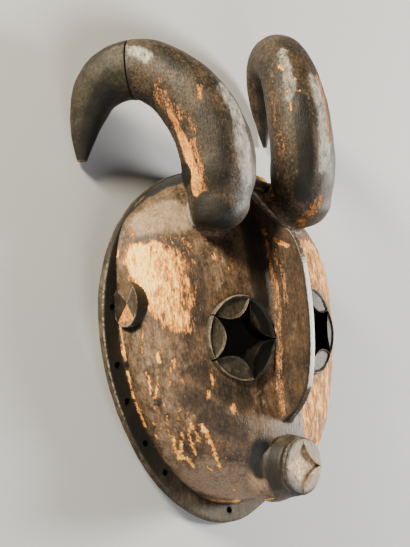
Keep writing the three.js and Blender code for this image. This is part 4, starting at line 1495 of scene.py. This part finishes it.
# %% The flaking and highlight group
def flaking_and_highlight_group():
    inputs = {"Wear and highlight": 0.0, "Break up": 0.5, "Fleck size": 1.0}
    bench, given, wanted = effect("flaking_and_highlight", inputs, {"Bare and highlight": "Float", "Wood colour": "Color"})
    link = bench.tree.links.new
    size = bench.sum("DIVIDE", 1.0, given["Fleck size"])
    chips = bench.noise(bench.millimetres((1, 2.4, 1)), bench.sum("MULTIPLY", size, 0.26), 5, 0.6)
    flecks = bench.noise(bench.millimetres((1, 5.0, 1)), bench.sum("MULTIPLY", size, 0.75), 2, 0.5)
    broken = bench.sum("MULTIPLY", bench.sum("SUBTRACT", chips, 0.5), 2.2)
    flecked = bench.sum("MULTIPLY", bench.sum("SUBTRACT", flecks, 0.5), 1.9)
    both = bench.sum("MULTIPLY", bench.sum("ADD", broken, flecked), given["Break up"])
    speckle = bench.sum("SUBTRACT", bench.noise(bench.millimetres((1, 1.6, 1)), 0.9, 2, 0.6), 0.5)
    value = bench.sum("ADD", bench.sum("ADD", given["Wear and highlight"], both), bench.sum("MULTIPLY", speckle, 0.55))
    link(bench.ramp(value, 0.5, 0.58), wanted["Bare and highlight"])
    stops = [
        (0.0, (0.06, 0.025, 0.010)), (0.14, (0.20, 0.076, 0.019)), (0.34, (0.45, 0.165, 0.030)),
        (0.64, (0.70, 0.30, 0.045)), (1.0, (0.93, 0.63, 0.17)),
    ]
    link(bench.shades(bench.ramp(value, 0.46, 1.1), stops), wanted["Wood colour"])
    return bench.tree


FLAKING_AND_HIGHLIGHT = flaking_and_highlight_group()

# %% [markdown]
# The third effect is the film of dust, smoke and dried handling that lies over stain in soft
# clouds; on the horns it also paints the side lamp's sheen. The fourth is edge wear, which follows
# the edges that the mesh knows about, broken up a little so that no edge is worn in an even line.
# On the nose's front it also paints the side lamp's highlight.

# %% The film and sheen group and the edge group
def film_and_sheen_group():
    bench, given, wanted = effect("film_and_sheen", {"Amount": 0.3}, {"Cover": "Float"})
    clouds = bench.noise(bench.millimetres((1, 2.0, 1)), 0.2, 5, 0.65)
    uneven = bench.sum("MULTIPLY", bench.sum("SUBTRACT", clouds, 0.5), 1.6)
    shifted = bench.sum("ADD", given["Amount"], uneven)
    bench.tree.links.new(bench.ramp(shifted, 0.15, 0.95), wanted["Cover"])
    return bench.tree


def edge_group():
    bench, given, wanted = effect("edge_wear_and_highlight", {"Edge": 0.0, "Amount": 1.0}, {"Worn and lit": "Float"})
    rough = bench.noise(bench.millimetres(), 0.4, 4, 0.6)
    uneven = bench.sum("MULTIPLY", bench.sum("SUBTRACT", rough, 0.5), 1.5)
    shifted = bench.sum("ADD", given["Edge"], uneven)
    worn_and_lit = bench.sum("MULTIPLY", bench.ramp(shifted, 0.25, 0.75), given["Amount"])
    bench.tree.links.new(worn_and_lit, wanted["Worn and lit"])
    return bench.tree


FILM_AND_SHEEN_GROUP = film_and_sheen_group()
EDGE_GROUP = edge_group()
print("Effect groups:", [tree.name for tree in bpy.data.node_groups])

# %% [markdown]
# One recipe makes every carved part's material from those effects. What differs from part to part
# is handed to it: the stain's two browns, how broken the flaking is, how much film, sheen and edge
# wear there is, and how glossy the stain has been rubbed.

# %% The recipe for stained wood
# The first colour below is painted shade in corners. The third is for black stain and for painted shade and
# shadow alike.
CORNER_SHADE = (0.006, 0.005, 0.004, 1)
PIT_DIRT = (0.006, 0.005, 0.003, 1)
BLACK_AND_SHADE_COLOUR = (0.0035, 0.0034, 0.0028, 1)
FIBRE_BROWN = (0.16, 0.08, 0.035, 1)
PORE_BROWN = (0.05, 0.024, 0.012, 1)
PIT_BROWN = (0.16, 0.075, 0.03, 1)
RELIEF = 0.5


def stained_wood(name, dark, brown, film_and_sheen_colour=(0.30, 0.205, 0.135), wear_shift=0.0, break_up=0.5,
                 film_and_sheen=1.0, edge=0.6, edge_shade=(0.36, 0.23, 0.12), gloss=0.56, shine=0.3, pitting=0.5):
    material = bpy.data.materials.new(name)
    material.use_nodes = True
    bench = Bench(material.node_tree)
    shader = material.node_tree.nodes["Principled BSDF"]

    def value(label):
        return bench.put("ShaderNodeAttribute", attribute_name=label).outputs["Fac"]

    def group(tree, sockets):
        return bench.put("ShaderNodeGroup", sockets, node_tree=tree).outputs

    grain = group(GRAIN, {"Fineness": 1.0})
    stain = bench.colour(grain["Mottling"], (*dark, 1), (*brown, 1))
    cover = group(FILM_AND_SHEEN_GROUP, {"Amount": bench.sum("MULTIPLY", value("film_and_sheen"), film_and_sheen)})["Cover"]
    stain = bench.colour(bench.sum("MULTIPLY", cover, 0.8), stain, (*film_and_sheen_colour, 1))
    darker = (*[c * 0.35 for c in dark], 1)
    lighter = (*[c * 2.4 for c in brown], 1)
    stain = bench.colour(bench.sum("MULTIPLY", grain["Fibres"], 0.5), stain, darker)
    stain = bench.colour(bench.sum("MULTIPLY", grain["Glints"], pitting * 0.5), stain, lighter)
    open_wood = bench.sum("SUBTRACT", 1.0, bench.sum("MULTIPLY", cover, 0.6))
    pits = bench.sum("MULTIPLY", bench.sum("MULTIPLY", grain["Pits"], pitting), open_wood)
    stain = bench.colour(pits, stain, PIT_DIRT)
    black_and_shade_cover = value("black_and_shade")
    stain = bench.colour(black_and_shade_cover, stain, BLACK_AND_SHADE_COLOUR)
    stain = bench.colour(bench.sum("MULTIPLY", value("corner"), 0.75), stain, CORNER_SHADE)
    wear_and_highlight = bench.sum("ADD", value("bare_and_highlight"), wear_shift)
    wear_and_highlight = bench.sum("SUBTRACT", wear_and_highlight, bench.sum("MULTIPLY", black_and_shade_cover, 0.5))
    flaking_and_highlight = group(FLAKING_AND_HIGHLIGHT, {"Wear and highlight": wear_and_highlight, "Break up": break_up, "Fleck size": 1.0})
    pale_wood = flaking_and_highlight["Wood colour"]
    for mask, strength, shade in (
        (grain["Fibres"], 0.35, FIBRE_BROWN), (grain["Pores"], 0.6, PORE_BROWN), (pits, 0.8, PIT_BROWN),
    ):
        pale_wood = bench.colour(bench.sum("MULTIPLY", mask, strength), pale_wood, shade)
    surface = bench.colour(flaking_and_highlight["Bare and highlight"], stain, pale_wood)
    edge_cover = group(EDGE_GROUP, {"Edge": value("edge"), "Amount": edge})["Worn and lit"]
    edge_cover = bench.sum("MULTIPLY", edge_cover, bench.sum("SUBTRACT", 1.0, black_and_shade_cover))
    surface = bench.colour(edge_cover, surface, (*edge_shade, 1))
    bench.tree.links.new(surface, shader.inputs["Base Color"])
    rough = bench.sum("ADD", bench.sum("MULTIPLY", cover, 0.14), gloss)
    rough = bench.sum("ADD", rough, bench.sum("MULTIPLY", flaking_and_highlight["Bare and highlight"], 0.3), clamp=True)
    bench.tree.links.new(rough, shader.inputs["Roughness"])
    shader.inputs["Specular IOR Level"].default_value = shine
    height = bench.sum("MULTIPLY", grain["Fibres"], -0.35)
    for dent in (pits, grain["Pores"]):
        height = bench.sum("SUBTRACT", height, bench.sum("MULTIPLY", dent, 0.5))
    height = bench.sum("SUBTRACT", height, flaking_and_highlight["Bare and highlight"])
    bump = bench.put("ShaderNodeBump", {"Height": height, "Strength": RELIEF, "Distance": 0.0005})
    bench.tree.links.new(bump.outputs["Normal"], shader.inputs["Normal"])
    return material


# %% Materials of the carved parts
DARK = (0.020, 0.012, 0.007)
BROWN = (0.105, 0.060, 0.031)
materials = {
    "face": stained_wood("face_wood", DARK, BROWN),
    # The horns' film colour is silvery, because on the horns the film also paints the side lamp's sheen.
    "horn": stained_wood(
        "horn_wood", (0.009, 0.007, 0.0045), (0.048, 0.031, 0.018), break_up=0.26, pitting=0.85,
        film_and_sheen_colour=(0.46, 0.435, 0.39), gloss=0.55, shine=0.22,
    ),
    "petal": stained_wood(
        "petal_wood", (0.020, 0.016, 0.010), (0.050, 0.040, 0.025), break_up=0.2, edge=0.4,
        edge_shade=(0.30, 0.23, 0.15), film_and_sheen_colour=(0.13, 0.10, 0.065), wear_shift=-0.1, shine=0.2,
    ),
    # The nose's edge colour is near white: on its front it is wear and a painted highlight of the side
    # lamp.
    "blade": stained_wood(
        "nose_wood", (0.018, 0.011, 0.007), (0.062, 0.035, 0.019), break_up=0.2, edge=0.95,
        edge_shade=(0.41, 0.405, 0.385), gloss=0.42, pitting=0.35, film_and_sheen=0.5,
    ),
    "mouth": stained_wood(
        "mouth_wood", (0.016, 0.011, 0.008), (0.052, 0.036, 0.023), break_up=0.3,
        edge_shade=(0.46, 0.38, 0.27), film_and_sheen_colour=(0.34, 0.27, 0.19),
    ),
    "ear": stained_wood("ear_wood", (0.022, 0.013, 0.008), (0.085, 0.048, 0.022), break_up=0.25, edge=0.3),
    "rim": stained_wood(
        "rim_wood", (0.014, 0.010, 0.006), (0.050, 0.035, 0.021), edge=0.8,
        edge_shade=(0.27, 0.22, 0.16), film_and_sheen_colour=(0.15, 0.118, 0.082), gloss=0.66, shine=0.2,
    ),
    "hollow": stained_wood(
        "hollow_wood", (0.05, 0.030, 0.016), (0.14, 0.085, 0.044), break_up=0.35, gloss=0.7, edge=0.3,
    ),
    "star": stained_wood(
        "star_wood", (0.30, 0.20, 0.12), (0.62, 0.46, 0.29), break_up=0.3, edge=0.2,
        film_and_sheen_colour=(0.66, 0.54, 0.39), wear_shift=0.06, gloss=0.7, shine=0.2,
    ),
    # The walls of the holes are near black: painted shade.
    "hole": stained_wood(
        "hole_wood", (0.0015, 0.0012, 0.001), (0.005, 0.004, 0.003), break_up=0.1, edge=0.0, film_and_sheen=0.0,
        wear_shift=-0.3, gloss=0.85, shine=0.05,
    ),
}
tip_wood = stained_wood(
    "tip_wood", (0.009, 0.008, 0.0055), (0.028, 0.022, 0.014), break_up=0.2, pitting=0.6,
    film_and_sheen_colour=(0.13, 0.115, 0.09), wear_shift=-0.08, gloss=0.6, shine=0.18,
)
for i, finish in enumerate(FINISHES):
    carved.data.materials[i] = materials[finish]
    horn_tip.data.materials[i] = tip_wood
used = sorted(set(values_of(carved.data.polygons, "material_index", 1, np.int32)))
print("Finishes on the mask:", [FINISHES[i] for i in used])

# %% [markdown]
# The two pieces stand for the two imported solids. Both ride on the mask's one body.

# %% Say what the pieces stand for
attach(carved, "root")
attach(horn_tip, "root")
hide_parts("mask")
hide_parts("right_horn_tip")

# %% [markdown]
# The mask lies on a plain pale floor. Three soft lamps light it as in the picture: one low from the
# upper left, whose light rakes over the carving, one from the right that picks out the front of
# the nose and the far cheek, and a weak wide one below the chin. A dim grey room fills the rest.

# %% Floor and lights
bpy.ops.mesh.primitive_plane_add(size=24)
floor = bpy.context.active_object
floor.name = "floor"
floor_paint = bpy.data.materials.new("floor_paint")
floor_paint.use_nodes = True
paint = floor_paint.node_tree.nodes["Principled BSDF"]
paint.inputs["Base Color"].default_value = (0.32, 0.33, 0.35, 1)
paint.inputs["Roughness"].default_value = 0.9
floor.data.materials.append(floor_paint)


def soft_light(name, towards, distance, size, power, tint):
    """A round area lamp that shines on the mask from a direction of the carving block."""
    direction = Vector((LIE @ unit(np.array(towards))).tolist())
    lamp = bpy.data.lights.new(name, "AREA")
    lamp.shape = "DISK"
    lamp.size = size
    lamp.energy = power
    lamp.color = tint
    made = bpy.data.objects.new(name, lamp)
    made.location = Vector((0, 0, 0.05)) + direction * distance
    made.rotation_euler = direction.to_track_quat("Z", "Y").to_euler()
    bpy.context.collection.objects.link(made)


soft_light("key", (-0.76, 0.60, 0.20), 1.5, 0.4, 104, (1.0, 0.89, 0.66))
soft_light("side", (0.84, 0.0, 0.46), 1.5, 0.4, 82, (1.0, 0.96, 0.87))
soft_light("fill", (-0.1, -0.75, 0.62), 1.8, 1.2, 31, (1.0, 0.97, 0.93))
room = bpy.data.worlds.new("room")
room.use_nodes = True
room.node_tree.nodes["Background"].inputs["Color"].default_value = (0.52, 0.53, 0.55, 1)
room.node_tree.nodes["Background"].inputs["Strength"].default_value = 0.16
bpy.context.scene.world = room
print("View transform:", bpy.context.scene.view_settings.view_transform)
